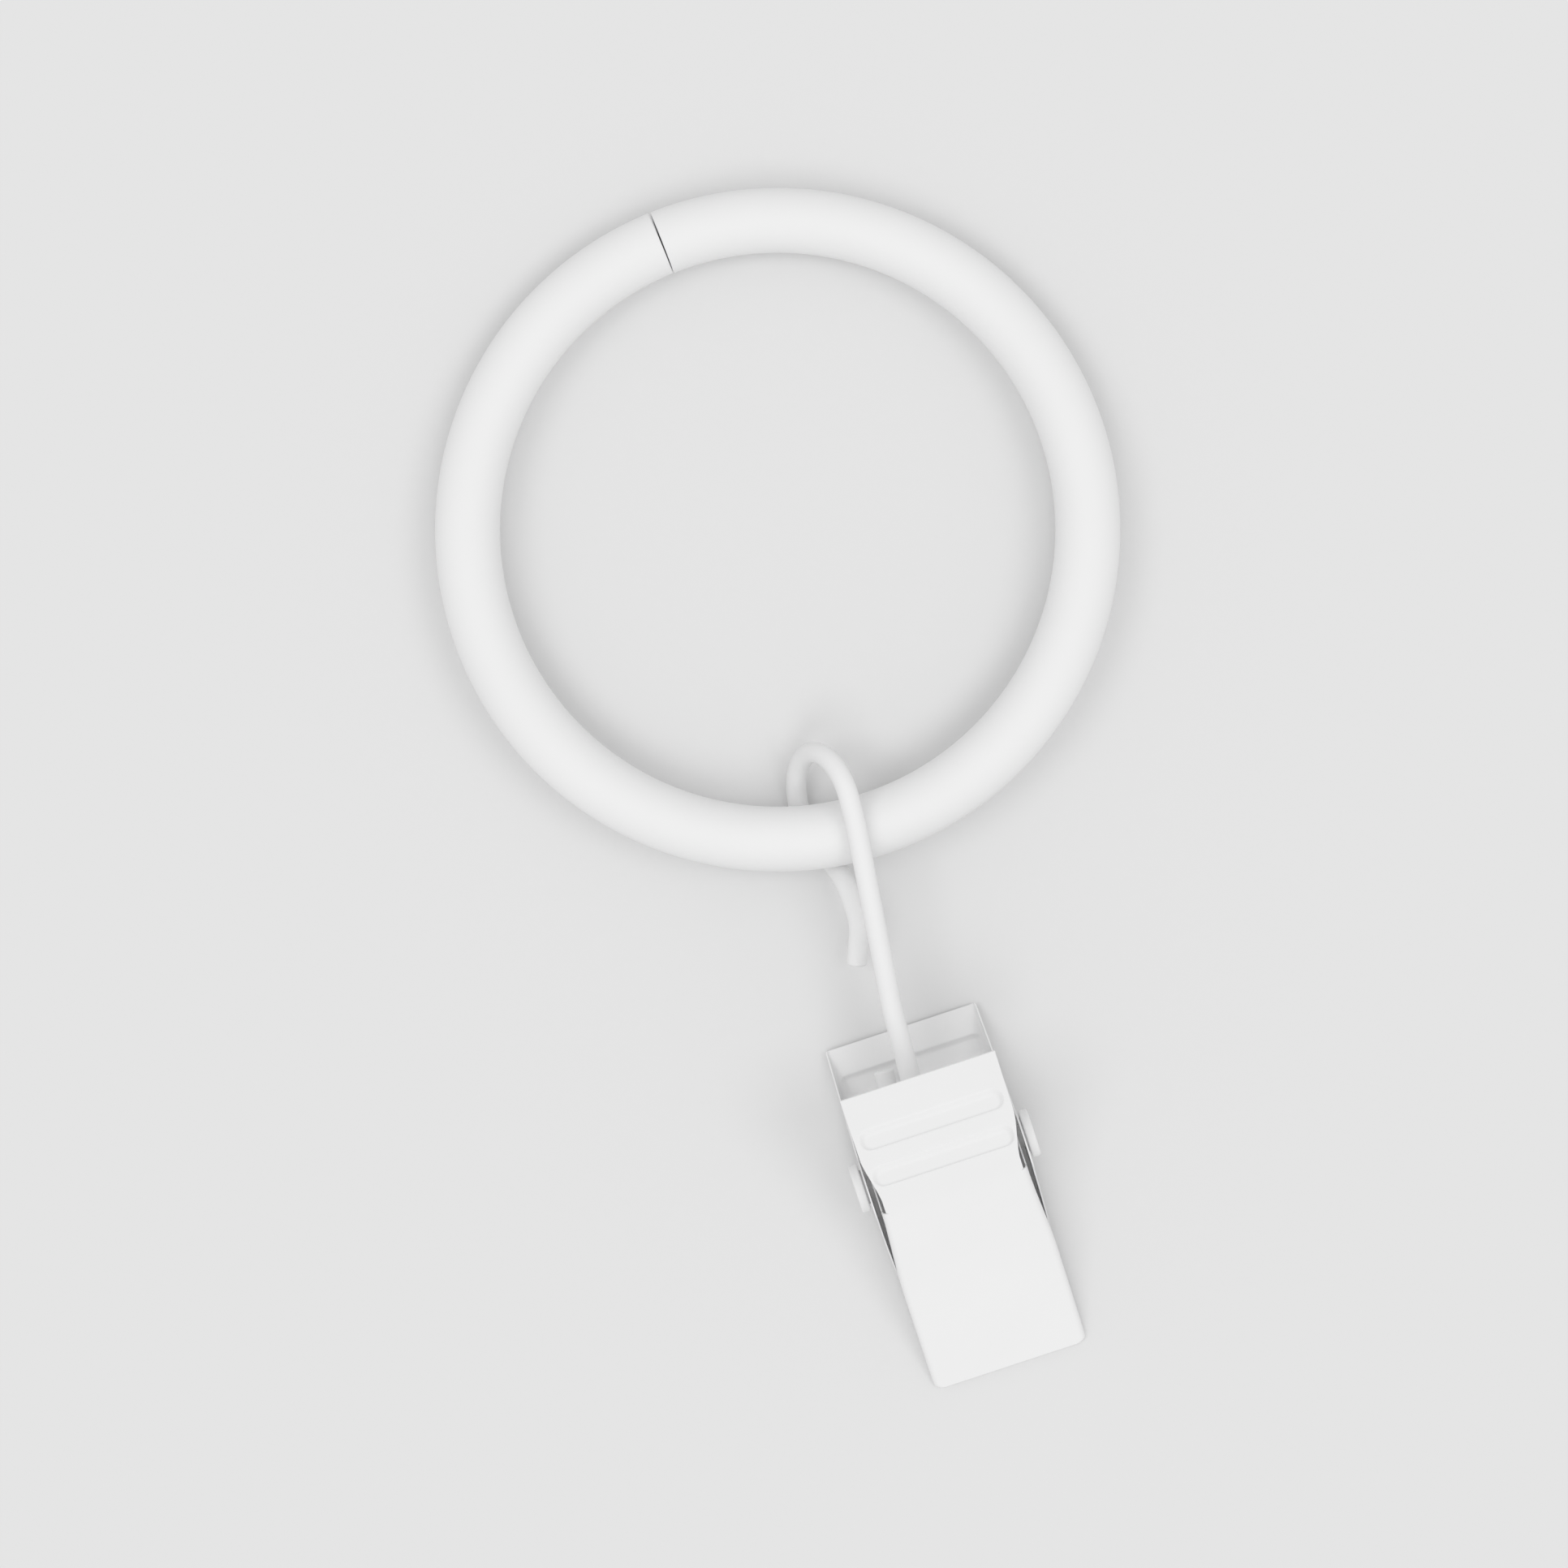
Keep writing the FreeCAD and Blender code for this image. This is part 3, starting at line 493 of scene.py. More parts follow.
@dataclass
class WireHook:
    """One bent wire: an eye round the pin, a stem, an open loop round the bar and a tip."""

    layout: Layout
    loop_beyond_bar: float = 5.75
    eye_half: float = 1.8
    eye_bend: float = 1.75
    eye_side: float = -0.12
    tail_length: float = 7.05
    stem_bends: tuple[float, float] = (10.998, 24.0)
    stem_bend_radius: float = 14.0
    shank_offset: float = 1.65
    throat_rise: float = 46.0
    throat_before_bar: float = 3.4
    throat_side: float = 0.0
    throat_height: float = 2.95
    throat_end: float = 6.3
    throat_end_side: float = -0.25
    throat_radius: float = 2.4
    tip_reach: float = 9.1
    tip_side: float = 0.7
    tip_height: float = 2.2
    tip_radius: float = 4.0
    sway_radius: float = 3.0
    sway_lead: float = 0.75
    end_round: float = 0.2
    step: float = 0.12
    sides: int = 40

    def on_table(self, forward: float, side: float, height: float) -> np.ndarray:
        """Return the place a length along the hook from the eye, beside it and above the table."""
        layout = self.layout
        level = layout.eye + layout.along_hook * forward + layout.beside_hook * side
        return level + UP * (layout.table + height)

    def in_loop(self, forward: float, drop: float) -> np.ndarray:
        """Return a place in the leaning plane that the eye, the stem and the loop are bent in.

        The plane turns a little: the eye sits eye_side beside the middle, the loop in the middle.

        Args:
            forward: The length along the hook from the eye.
            drop: How far the place lies below the eye, down the plane.

        Returns:
            The place, as three lengths.
        """
        layout = self.layout
        beside = self.eye_side * (1 - np.clip(forward / self.stem_bends[1], 0.0, 1.0))
        side = drop * sine(layout.hook_lean) + beside
        return self.on_table(forward, side, layout.pin_height - drop * cosine(layout.hook_lean))

    def corners(self) -> list[tuple[np.ndarray, float]]:
        """Lay the wire out as straight runs.

        Returns:
            The runs' corners from the tail to the tip, each with its bend's radius.
        """
        layout = self.layout
        reach, low, high = layout.hook_reach, layout.loop_low, layout.loop_high
        loop_top, loop_radius = reach + self.loop_beyond_bar, (low - high) / 2
        leg_side = low * sine(layout.hook_lean)
        rise_start = reach - layout.bar_to_wire * math.tan(math.radians(self.throat_rise / 2))
        sway_start = loop_top - loop_radius - self.sway_lead
        throat_start = reach - self.throat_before_bar
        sway = (leg_side - self.throat_side) / (sway_start - throat_start)
        rise_side = leg_side - sway * (sway_start - rise_start)
        first_bend, last_bend = self.stem_bends
        return [
            (self.in_loop(self.tail_length, self.eye_half), 0.0),
            (self.in_loop(-self.eye_half, self.eye_half), self.eye_bend),
            (self.in_loop(-self.eye_half, -self.eye_half), self.eye_bend),
            (self.in_loop(first_bend, -self.shank_offset), self.stem_bend_radius),
            (self.in_loop(last_bend, high), self.stem_bend_radius),
            (self.in_loop(loop_top, high), loop_radius),
            (self.in_loop(loop_top, low), loop_radius),
            (self.on_table(sway_start, leg_side, layout.leg_height), self.sway_radius),
            (self.on_table(rise_start, rise_side, layout.leg_height), layout.bar_to_wire),
            (self.on_table(throat_start, self.throat_side, self.throat_height),
             self.throat_radius),
            (self.on_table(reach - self.throat_end, self.throat_end_side, self.throat_height),
             self.tip_radius),
            (self.on_table(reach - self.tip_reach, self.tip_side, self.tip_height), 0.0),
        ]

    def build(self) -> bpy.types.Object:
        """Return the wire: a circle carried along its bent path, with its two ends rounded.

        Returns:
            The hook's object.
        """
        places, radii = zip(*self.corners())
        path = bent_path(np.array(places), np.array(radii), self.step)
        across = self.in_loop(0.0, 0.0) - self.in_loop(0.0, 1.0)
        leaning = np.cross(self.layout.along_hook, across)
        surface = tube(path, leaning, self.layout.wire_radius, self.end_round, self.sides)
        return mesh_from_grid("hook_wire", surface)


@dataclass
class RivetPin:
    """The pin through all four ears, with a narrow shoulder and a rounded head at each end."""

    layout: Layout
    ear_width: float = 11.3
    shaft_diameter: float = 1.6
    shoulder_diameter: float = 2.4
    shoulder_thickness: float = 0.14
    shoulder_round: float = 0.04
    head_diameter: float = 3.32
    head_thickness: float = 0.62
    head_round: float = 0.16
    sharp_angle: float = 40.0
    round_rows: int = 6
    sides: int = 72

    def half_profile(self) -> np.ndarray:
        """Return the profile from the shaft's middle out to the centre of a head.

        For t from 0 to 90 degrees a head's inner corner (x, y) is rounded by
        (x + r - r cos t, y - r + r sin t) and its outer one by (x - r + r sin t, y - r + r cos t).

        Returns:
            Array of shape (points, 2): the place along the pin and the radius.
        """
        ears = self.ear_width / 2
        head = ears + self.shoulder_thickness
        end = head + self.head_thickness
        shaft, shoulder = self.shaft_diameter / 2, self.shoulder_diameter / 2
        outer = self.head_diameter / 2
        t = np.linspace(0.0, QUARTER_TURN, self.round_rows)
        r, small = self.head_round, self.shoulder_round
        inner_corner = np.stack([head + r - r * np.cos(t), outer - r + r * np.sin(t)], axis=-1)
        outer_corner = np.stack([end - r + r * np.sin(t), outer - r + r * np.cos(t)], axis=-1)
        stem = np.array([(0.0, shaft), (ears, shaft), (ears, shoulder - small),
                         (ears + small, shoulder), (head, shoulder)])
        return np.vstack([stem, inner_corner, outer_corner, [(end, outer / 2)]])

    def build(self) -> bpy.types.Object:
        """Return the pin, turned about its axis from the mirrored half profile.

        Returns:
            The pin's object.
        """
        half = self.half_profile()
        profile = np.vstack([half[::-1] * [-1.0, 1.0], half[1:]])
        surface = self.layout.in_clip(turned(profile, self.sides))
        piece = mesh_from_grid("rivet_pin", surface[::-1])
        piece.data.set_sharp_from_angle(angle=math.radians(self.sharp_angle))
        return piece


@dataclass
class JawSpring:
    """The torsion spring round the pin: a close coil whose two legs push the grips apart."""

    layout: Layout
    wire: float = 0.45
    radius: float = 1.36
    pitch: float = 0.52
    whole_turns: float = 4.0
    start: float = 0.6
    leg: float = 4.6
    leg_gap: float = 0.09
    end_round: float = 0.075
    leg_rows: int = 14
    rows: int = 360
    sides: int = 20

    @property
    def leg_angle(self) -> float:
        """How far a leg leans from the pin's level to lie along its leaf, in degrees."""
        layout = self.layout
        room = (layout.bend_height * cosine(layout.grip_angle)
                + layout.bend_ahead * sine(layout.grip_angle)
                - layout.sheet - self.wire / 2 - self.leg_gap)
        return layout.grip_angle + math.degrees(math.asin((room - self.radius) / self.leg))

    @property
    def wound(self) -> float:
        """How far the coil goes round from leg to leg, in degrees."""
        return 360.0 * self.whole_turns + 180.0 - 2 * self.leg_angle

    def coil_ends(self) -> np.ndarray:
        """Return the two places on the pin's axis between which the coil winds, inside the legs."""
        last = self.start + self.pitch * self.wound / 360.0
        return self.layout.in_clip(np.array([[self.start + self.wire / 2, 0.0, 0.0],
                                             [last - self.wire / 2, 0.0, 0.0]]))

    def build(self) -> bpy.types.Object:
        """Return the spring: a straight leg, a helix about the pin and a second straight leg.

        The helix at angle w is (start + pitch * (w - w0) / 360, R cos w, R sin w), and each leg
        runs on along the circle's own direction, (0, -sin w, cos w), at its end.

        Returns:
            The spring's object.
        """
        w = np.linspace(0.0, self.wound, self.rows)
        angle = np.radians(90.0 + self.leg_angle + w)
        coil = np.stack([self.start + self.pitch * w / 360.0,
                         self.radius * np.cos(angle), self.radius * np.sin(angle)], axis=-1)
        ends = angle[[0, -1]]
        ways = np.stack([np.zeros(2), -np.sin(ends), np.cos(ends)], axis=-1)
        steps = np.linspace(0.0, self.leg, self.leg_rows)[1:, None]
        path = np.vstack([(coil[0] - ways[0] * steps)[::-1], coil, coil[-1] + ways[1] * steps])
        surface = tube(path, np.array([1.0, 0.0, 0.0]), self.wire / 2, self.end_round, self.sides)
        return mesh_from_grid("spring_coil", self.layout.in_clip(surface))


@dataclass(frozen=True)
class Bead:
    """A finger bead across a grip: a long soft-edged cushion pressed out of the sheet."""

    place: float
    length: float
    corner: float
    width: float = 1.75
    relief: float = 0.35
    flank: float = 0.42

    def height(self, across: np.ndarray, along: np.ndarray) -> np.ndarray:
        """Return how far the sheet stands out at places on the grip.

        With e the depth inside a rounded rectangle, the height is relief * sin(pi / 2 * e / flank)
        up to e = flank and the full relief beyond.

        Args:
            across: Places from the grip's middle line.
            along: Places from the bend towards the grip's end.

        Returns:
            The height at each place.
        """
        x = np.abs(across) - (self.length / 2 - self.corner)
        y = np.abs(along - self.place) - (self.width / 2 - self.corner)
        beyond = np.hypot(np.maximum(x, 0.0), np.maximum(y, 0.0))
        outside = beyond + np.minimum(np.maximum(x, y), 0.0)
        depth = np.clip((self.corner - outside) / self.flank, 0.0, 1.0)
        return self.relief * np.sin(depth * QUARTER_TURN)


@dataclass(frozen=True)
class LeafRows:
    """The rows of a folded sheet from the jaw's lip to the far end, one array entry per row.

    A row's plate lies level across at `plate`, its two folds drop from the plate's edges by a
    quarter circle, and its two walls run on to `foot`. A row that is not `folded` starts its walls
    at `wall_top`, if it is `walled`. Places are pairs (y, z) in the leaf's own axes.
    """

    along: np.ndarray
    plate: np.ndarray
    outward: np.ndarray
    plate_half: np.ndarray
    wall_half: np.ndarray
    wall_top: np.ndarray
    foot: np.ndarray
    folded: np.ndarray
    walled: np.ndarray

    @property
    def drop(self) -> np.ndarray:
        """How far each row's foot lies below its plate, square to the plate."""
        return ((self.plate - self.foot) * self.outward).sum(axis=-1)


@dataclass
class FoldedLeaf:
    """One sheet leaf of the clip: a jaw and a grip with two beads, its sides folded into ears."""

    layout: Layout
    name: str
    beads: tuple[Bead, Bead]
    fold_radius: float
    jaw_length: float = 14.53
    grip_length: float = 10.0
    jaw_gap: float = 0.1
    lip_height: float = 0.2
    half_clip: float = 5.5
    half_grip: float = 5.45
    lip_corner: float = 0.36
    lip_gauge: float = 0.18
    lip_run: float = 1.2
    bend_round: float = 0.5
    hole_radius: float = 0.85
    hole_sides: int = 48
    sharp_angle: float = 35.0
    lip_rows: int = 8
    jaw_rows: int = 64
    grip_rows: int = 130
    plate_columns: int = 121
    fold_columns: int = 8
    wall_columns: int = 4

    @property
    def jaw_angle(self) -> float:
        """How steeply the jaw's plate falls from the bend to the lip, in degrees."""
        fall = self.layout.bend_height - self.lip_height
        return math.degrees(math.asin(fall / self.jaw_length))

    def rows(self) -> LeafRows:
        """Return the leaf's rows."""
        raise NotImplementedError

    def place(self, points: np.ndarray) -> np.ndarray:
        """Return points in the leaf's own axes, put in their place."""
        return self.layout.in_clip(points)

    def stations(self, steps_at: tuple[float, ...]) -> np.ndarray:
        """Return the rows' places along the plate, closer at the lip and on the grip.

        Args:
            steps_at: Places along Y where the foot steps up or down, so that two rows meet there.

        Returns:
            The places, from the lip to the grip's end.
        """
        layout = self.layout
        quarter = np.linspace(0.0, QUARTER_TURN, self.lip_rows)
        lip = -self.jaw_length + self.lip_corner * (1 - np.cos(quarter))
        jaw = np.linspace(lip[-1], 0.0, self.jaw_rows)[1:]
        grip = np.linspace(0.0, self.grip_length, self.grip_rows)[1:]
        slopes = [self.jaw_angle if y < -layout.bend_ahead else layout.grip_angle
                  for y in steps_at]
        doubled = [(y + layout.bend_ahead) / cosine(slope) + side
                   for y, slope in zip(steps_at, slopes) for side in (-SLIVER, SLIVER)]
        return np.unique(np.concatenate([lip, jaw, grip, doubled]))

    def side_profile(self, s: np.ndarray) -> tuple[np.ndarray, np.ndarray]:
        """Work out the plate's line as seen from the side.

        The slope at s is the jaw's, the grip's or, over the bend's round, a blend that grows
        evenly. The plate is the running sum of its steps, (cos slope, sin slope) ds.

        Args:
            s: Places along the plate, with the bend at 0.

        Returns:
            The plate's (y, z) and its outward direction at these places.
        """
        layout = self.layout
        f = np.clip((s + self.bend_round) / (2 * self.bend_round), 0.0, 1.0)
        slope = np.radians(self.jaw_angle + (layout.grip_angle - self.jaw_angle) * f)
        middle = (slope[1:] + slope[:-1]) / 2
        steps = np.diff(s)[:, None] * np.stack([np.cos(middle), np.sin(middle)], axis=-1)
        run = np.vstack([np.zeros((1, 2)), np.cumsum(steps, axis=0)])
        at_bend = np.array([np.interp(0.0, s, run[:, axis]) for axis in range(2)])
        plate = run - at_bend + np.array([-layout.bend_ahead, layout.bend_height])
        return plate, np.stack([-np.sin(slope), np.cos(slope)], axis=-1)

    def lip_rounding(self, s: np.ndarray) -> np.ndarray:
        """Return how far the sheet's sides draw in at the lip's two round corners."""
        return corner_shortfall(s + self.jaw_length, self.lip_corner)

    def gauge(self, s: np.ndarray) -> np.ndarray:
        """Return the sheet's thickness at places s, a little more at the lip, to close the jaw."""
        near = np.clip((s + self.jaw_length) / self.lip_run, 0.0, 1.0)
        return self.lip_gauge + (self.layout.sheet - self.lip_gauge) * near

    def cut_short(self, rows: LeafRows) -> np.ndarray:
        """Return in which rows the foot cuts the fold off before it stands upright."""
        return rows.folded & (rows.drop < self.fold_radius)

    def plate_strip(self, rows: LeafRows) -> tuple[np.ndarray, np.ndarray]:
        """Work out the plate, (t w, p + h n) with w its flat half width and h the beads' height.

        Args:
            rows: The leaf's rows.

        Returns:
            The points and their outward directions, row by row.
        """
        across = rows.plate_half[:, None] * np.linspace(-1.0, 1.0, self.plate_columns)
        bump = sum(bead.height(across, rows.along[:, None]) for bead in self.beads)
        outward = np.broadcast_to(rows.outward[:, None, :], across.shape + (2,))
        yz = rows.plate[:, None, :] + bump[..., None] * outward
        flat = np.zeros(across.shape + (1,))
        return (np.concatenate([across[..., None], yz], axis=-1),
                np.concatenate([flat, outward], axis=-1))

    def fold_strip(self, rows: LeafRows) -> tuple[np.ndarray, np.ndarray]:
        """Work out the right fold, (W - r + r sin a, p - r (1 - cos a) n).

        W is the wall's half width, and a runs to 90 degrees or to where the foot cuts it short.

        Args:
            rows: The leaf's rows.

        Returns:
            The points and their outward directions, row by row.
        """
        r = self.fold_radius
        cut = np.arccos(np.clip(1 - rows.drop / r, -1.0, 1.0))
        last = np.where(self.cut_short(rows), cut, QUARTER_TURN)
        a = last[:, None] * np.linspace(0.0, 1.0, self.fold_columns + 1)[1:]
        x = (rows.wall_half - r)[:, None] + r * np.sin(a)
        outward = rows.outward[:, None, :]
        arc = rows.plate[:, None, :] - (r * (1 - np.cos(a)))[..., None] * outward
        yz = np.where(rows.folded[:, None, None], arc, rows.wall_top[:, None, :])
        return (np.concatenate([x[..., None], yz], axis=-1),
                np.concatenate([np.sin(a)[..., None], np.cos(a)[..., None] * outward], axis=-1))

    def wall_strip(self, rows: LeafRows, start: np.ndarray) -> np.ndarray:
        """Work out the right wall, straight from the fold's end to the foot.

        Args:
            rows: The leaf's rows.
            start: The fold's last point in each row, of shape (rows, 1, 3).

        Returns:
            The points, row by row.
        """
        foot = np.concatenate([start[:, 0, :1], rows.foot], axis=-1)
        end = np.where(self.cut_short(rows)[:, None], start[:, 0], foot)[:, None, :]
        return start + (end - start) * np.linspace(0.0, 1.0, self.wall_columns + 1)[1:, None]

    def surface(self, rows: LeafRows) -> tuple[np.ndarray, np.ndarray]:
        """Join the outer surface's strips: wall, fold, plate, fold and wall.

        Args:
            rows: The leaf's rows.

        Returns:
            The points and their outward directions, each of shape (rows, columns, 3).
        """
        plate, plate_out = self.plate_strip(rows)
        fold, fold_out = self.fold_strip(rows)
        wall = self.wall_strip(rows, fold[:, -1:])
        side = np.concatenate([fold, wall], axis=1)
        wall_out = np.broadcast_to(fold_out[:, -1:], wall.shape)
        side_out = np.concatenate([fold_out, wall_out], axis=1)
        mirror = np.array([-1.0, 1.0, 1.0])
        outward = np.concatenate([side_out[:, ::-1] * mirror, plate_out, side_out], axis=1)
        return np.concatenate([side[:, ::-1] * mirror, plate, side], axis=1), unit(outward)

    def kept(self, rows: LeafRows) -> np.ndarray:
        """Find the quads of the grid that are sheet: the whole plate, and folds and walls in part.

        Args:
            rows: The leaf's rows.

        Returns:
            True for each quad that is kept, of shape (rows - 1, columns - 1).
        """
        deep = ~self.cut_short(rows)
        folded = rows.folded[:-1] & rows.folded[1:]
        walled = rows.walled[:-1] & rows.walled[1:] & (deep[:-1] | deep[1:])
        wall = np.repeat(walled[:, None], self.wall_columns, axis=1)
        fold = np.repeat(folded[:, None], self.fold_columns, axis=1)
        plate = np.ones((len(folded), self.plate_columns - 1), dtype=bool)
        return np.hstack([wall, fold, plate, fold, wall])

    def build(self) -> bpy.types.Object:
        """Return the leaf: the outer surface, the inner one a gauge below it, and the rims between.

        The pin's hole is then drilled through both ears.

        Returns:
            The leaf's object.
        """
        rows = self.rows()
        outer, outward = self.surface(rows)
        inner = outer - self.gauge(rows.along)[:, None, None] * outward
        count = outer.shape[0] * outer.shape[1]
        index = np.arange(count).reshape(outer.shape[:2])
        quads = np.stack([index[:-1, :-1], index[:-1, 1:], index[1:, 1:], index[1:, :-1]], axis=-1)
        quads = quads[self.kept(rows)]
        faces = np.vstack([quads, quads[:, ::-1] + count, rim_quads(quads, count)])
        points = np.vstack([outer.reshape(-1, 3), inner.reshape(-1, 3)])
        used, numbers = np.unique(faces, return_inverse=True)
        leaf = make_object(self.name, self.place(points[used]), numbers.reshape(-1, 4))
        join_close_points(leaf)
        self.drill(leaf)
        leaf.data.set_sharp_from_angle(angle=math.radians(self.sharp_angle))
        return leaf

    def drill(self, leaf: bpy.types.Object) -> None:
        """Cut the pin's hole out of both ears with a cylinder, which is then removed.

        Args:
            leaf: The leaf's object, whose mesh is replaced.
        """
        reach = self.half_clip * 2
        profile = np.array([(-reach, self.hole_radius), (reach, self.hole_radius)])
        surface = self.place(turned(profile, self.hole_sides))
        cutter = mesh_from_grid("hole_cutter", surface[::-1])
        cut = leaf.modifiers.new("pin_hole", "BOOLEAN")
        cut.operation = "DIFFERENCE"
        cut.solver = "EXACT"
        cut.object = cutter
        shaped = leaf.evaluated_get(bpy.context.evaluated_depsgraph_get())
        drilled = bpy.data.meshes.new_from_object(shaped)
        leaf.modifiers.clear()
        plain, leaf.data = leaf.data, drilled
        drilled.name = self.name
        cutter_mesh = cutter.data
        bpy.data.objects.remove(cutter)
        for spent in (plain, cutter_mesh):
            bpy.data.meshes.remove(spent)


@dataclass
class FrontLeaf(FoldedLeaf):
    """The leaf above: a plain grip with a waist, and low ears inside the other leaf's."""

    name: str = "front_sheet"
    beads: tuple[Bead, Bead] = (Bead(6.29, 10.1, 0.8), Bead(3.14, 10.0, 0.8))
    fold_radius: float = 0.45
    half_ears: float = 5.2
    half_waist: float = 4.9
    waist: tuple[float, float] = (1.1, 4.8)
    flare: tuple[float, float] = (-6.5, -0.8)
    ear_half: float = 1.7
    ear_round: float = 1.2
    ear_top: float = 2.6
    ear_drop: float = 0.42
    ear_rows: int = 40

    def rows(self) -> LeafRows:
        """Fold the front leaf's rows up to the bend, with an ear that runs on behind it.

        Returns:
            The leaf's rows.
        """
        s = self.stations((-self.ear_half,))
        plate, outward = self.side_profile(s)
        jaw = s <= 0.0
        jaw_half = eased(s, self.flare, (self.half_clip, self.half_ears)) - self.lip_rounding(s)
        grip_half = eased(s, self.waist, (self.half_waist, self.half_grip))
        ahead = self.layout.bend_ahead
        order = np.arange(len(s)) - np.flatnonzero(jaw)[-1]
        ear = (order > 0) & (order <= self.ear_rows)
        ear_y = -ahead + (ahead + self.ear_half) * np.clip(order / self.ear_rows, 0.0, 1.0)
        y = np.where(jaw, plate[:, 0], ear_y)
        top = np.interp(y, [-ahead, self.ear_half], [self.ear_top, self.ear_half - self.ear_drop])
        ear_foot = -self.ear_half + corner_shortfall(self.ear_half - np.abs(y), self.ear_round)
        foot = np.where(y < -self.ear_half, self.jaw_gap / 2, ear_foot)
        return LeafRows(along=s, plate=plate, outward=outward,
                        plate_half=np.where(jaw, jaw_half - self.fold_radius, grip_half),
                        wall_half=np.where(jaw, jaw_half, self.half_ears),
                        wall_top=np.stack([y, top], axis=-1), foot=np.stack([y, foot], axis=-1),
                        folded=jaw, walled=jaw | ear)


@dataclass
class BackLeaf(FoldedLeaf):
    """The leaf below: jaw and grip both folded along their sides, and tall ears outside."""

    name: str = "back_sheet"
    beads: tuple[Bead, Bead] = (Bead(7.05, 10.1, 0.45), Bead(3.9, 10.0, 0.45))
    fold_radius: float = 0.35
    grip_length: float = 9.9
    half_ears: float = 5.65
    flare: tuple[float, float] = (-6.8, -2.6)
    ear_ahead: float = 1.8
    ear_behind: float = 2.2
    ear_reach: float = 3.0
    ear_round: float = 1.1
    ramp_start: float = 4.2
    ramp_drop: float = 1.7
    grip_wall: float = 0.5

    def place(self, points: np.ndarray) -> np.ndarray:
        """Return points in the leaf's own axes, turned over about Y and put in their place."""
        return self.layout.in_clip(points * [-1.0, 1.0, -1.0])

    def rows(self) -> LeafRows:
        """Fold the back leaf's rows all the way from the lip to the grip's end.

        Returns:
            The leaf's rows.
        """
        s = self.stations((-self.ear_ahead, self.ear_behind))
        plate, outward = self.side_profile(s)
        y = plate[:, 0]
        end_y, end_z = plate[-1]
        behind = self.layout.bend_ahead + self.ear_behind
        half = np.where(s < behind, eased(s, self.flare, (self.half_clip, self.half_ears)),
                        np.interp(s, [behind, self.grip_length], [self.half_ears, self.half_grip]))
        half = half - self.lip_rounding(s)
        in_ear = np.minimum(y + self.ear_ahead, self.ear_behind - y)
        ear_foot = -self.ear_reach + corner_shortfall(in_ear, self.ear_round)
        ahead_foot = np.interp(y, [-self.ramp_start, -self.ear_ahead],
                               [self.jaw_gap / 2, -self.ramp_drop])
        behind_foot = np.interp(y, [self.ear_behind, end_y],
                                [-self.grip_wall, end_z - 2 * self.layout.sheet])
        foot = np.select([y < -self.ear_ahead, y < self.ear_behind], [ahead_foot, ear_foot],
                         behind_foot)
        edge = np.stack([y, foot], axis=-1)
        everywhere = np.ones(len(s), dtype=bool)
        return LeafRows(along=s, plate=plate, outward=outward,
                        plate_half=half - self.fold_radius, wall_half=half,
                        wall_top=edge, foot=edge, folded=everywhere, walled=everywhere)


# Finishes

def feed(tree: bpy.types.NodeTree, socket: bpy.types.NodeSocket, given: object) -> None:
    """Link an input to the output socket that is given, or set it to the value."""
    if isinstance(given, bpy.types.NodeSocket):
        tree.links.new(given, socket)
    else:
        socket.default_value = given


def add_node(tree: bpy.types.NodeTree, kind: str, **inputs: object) -> bpy.types.Node:
    """Add a shader node and feed its inputs by their names.

    Args:
        tree: The tree that the node goes into.
        kind: The node's type.
        inputs: Values or output sockets, by the input's name with underscores for blanks.

    Returns:
        The new node.
    """
    node = tree.nodes.new(kind)
    for name, given in inputs.items():
        feed(tree, node.inputs[name.replace("_", " ")], given)
    return node


def add_math(tree: bpy.types.NodeTree, operation: str, *values: object) -> bpy.types.NodeSocket:
    """Add a Math node.

    Args:
        tree: The tree that the node goes into.
        operation: What it works out.
        values: Numbers or output sockets, in the order of its inputs.

    Returns:
        The node's output socket.
    """
    node = tree.nodes.new("ShaderNodeMath")
    node.operation = operation
    for socket, given in zip(node.inputs, values):
        feed(tree, socket, given)
    return node.outputs[0]


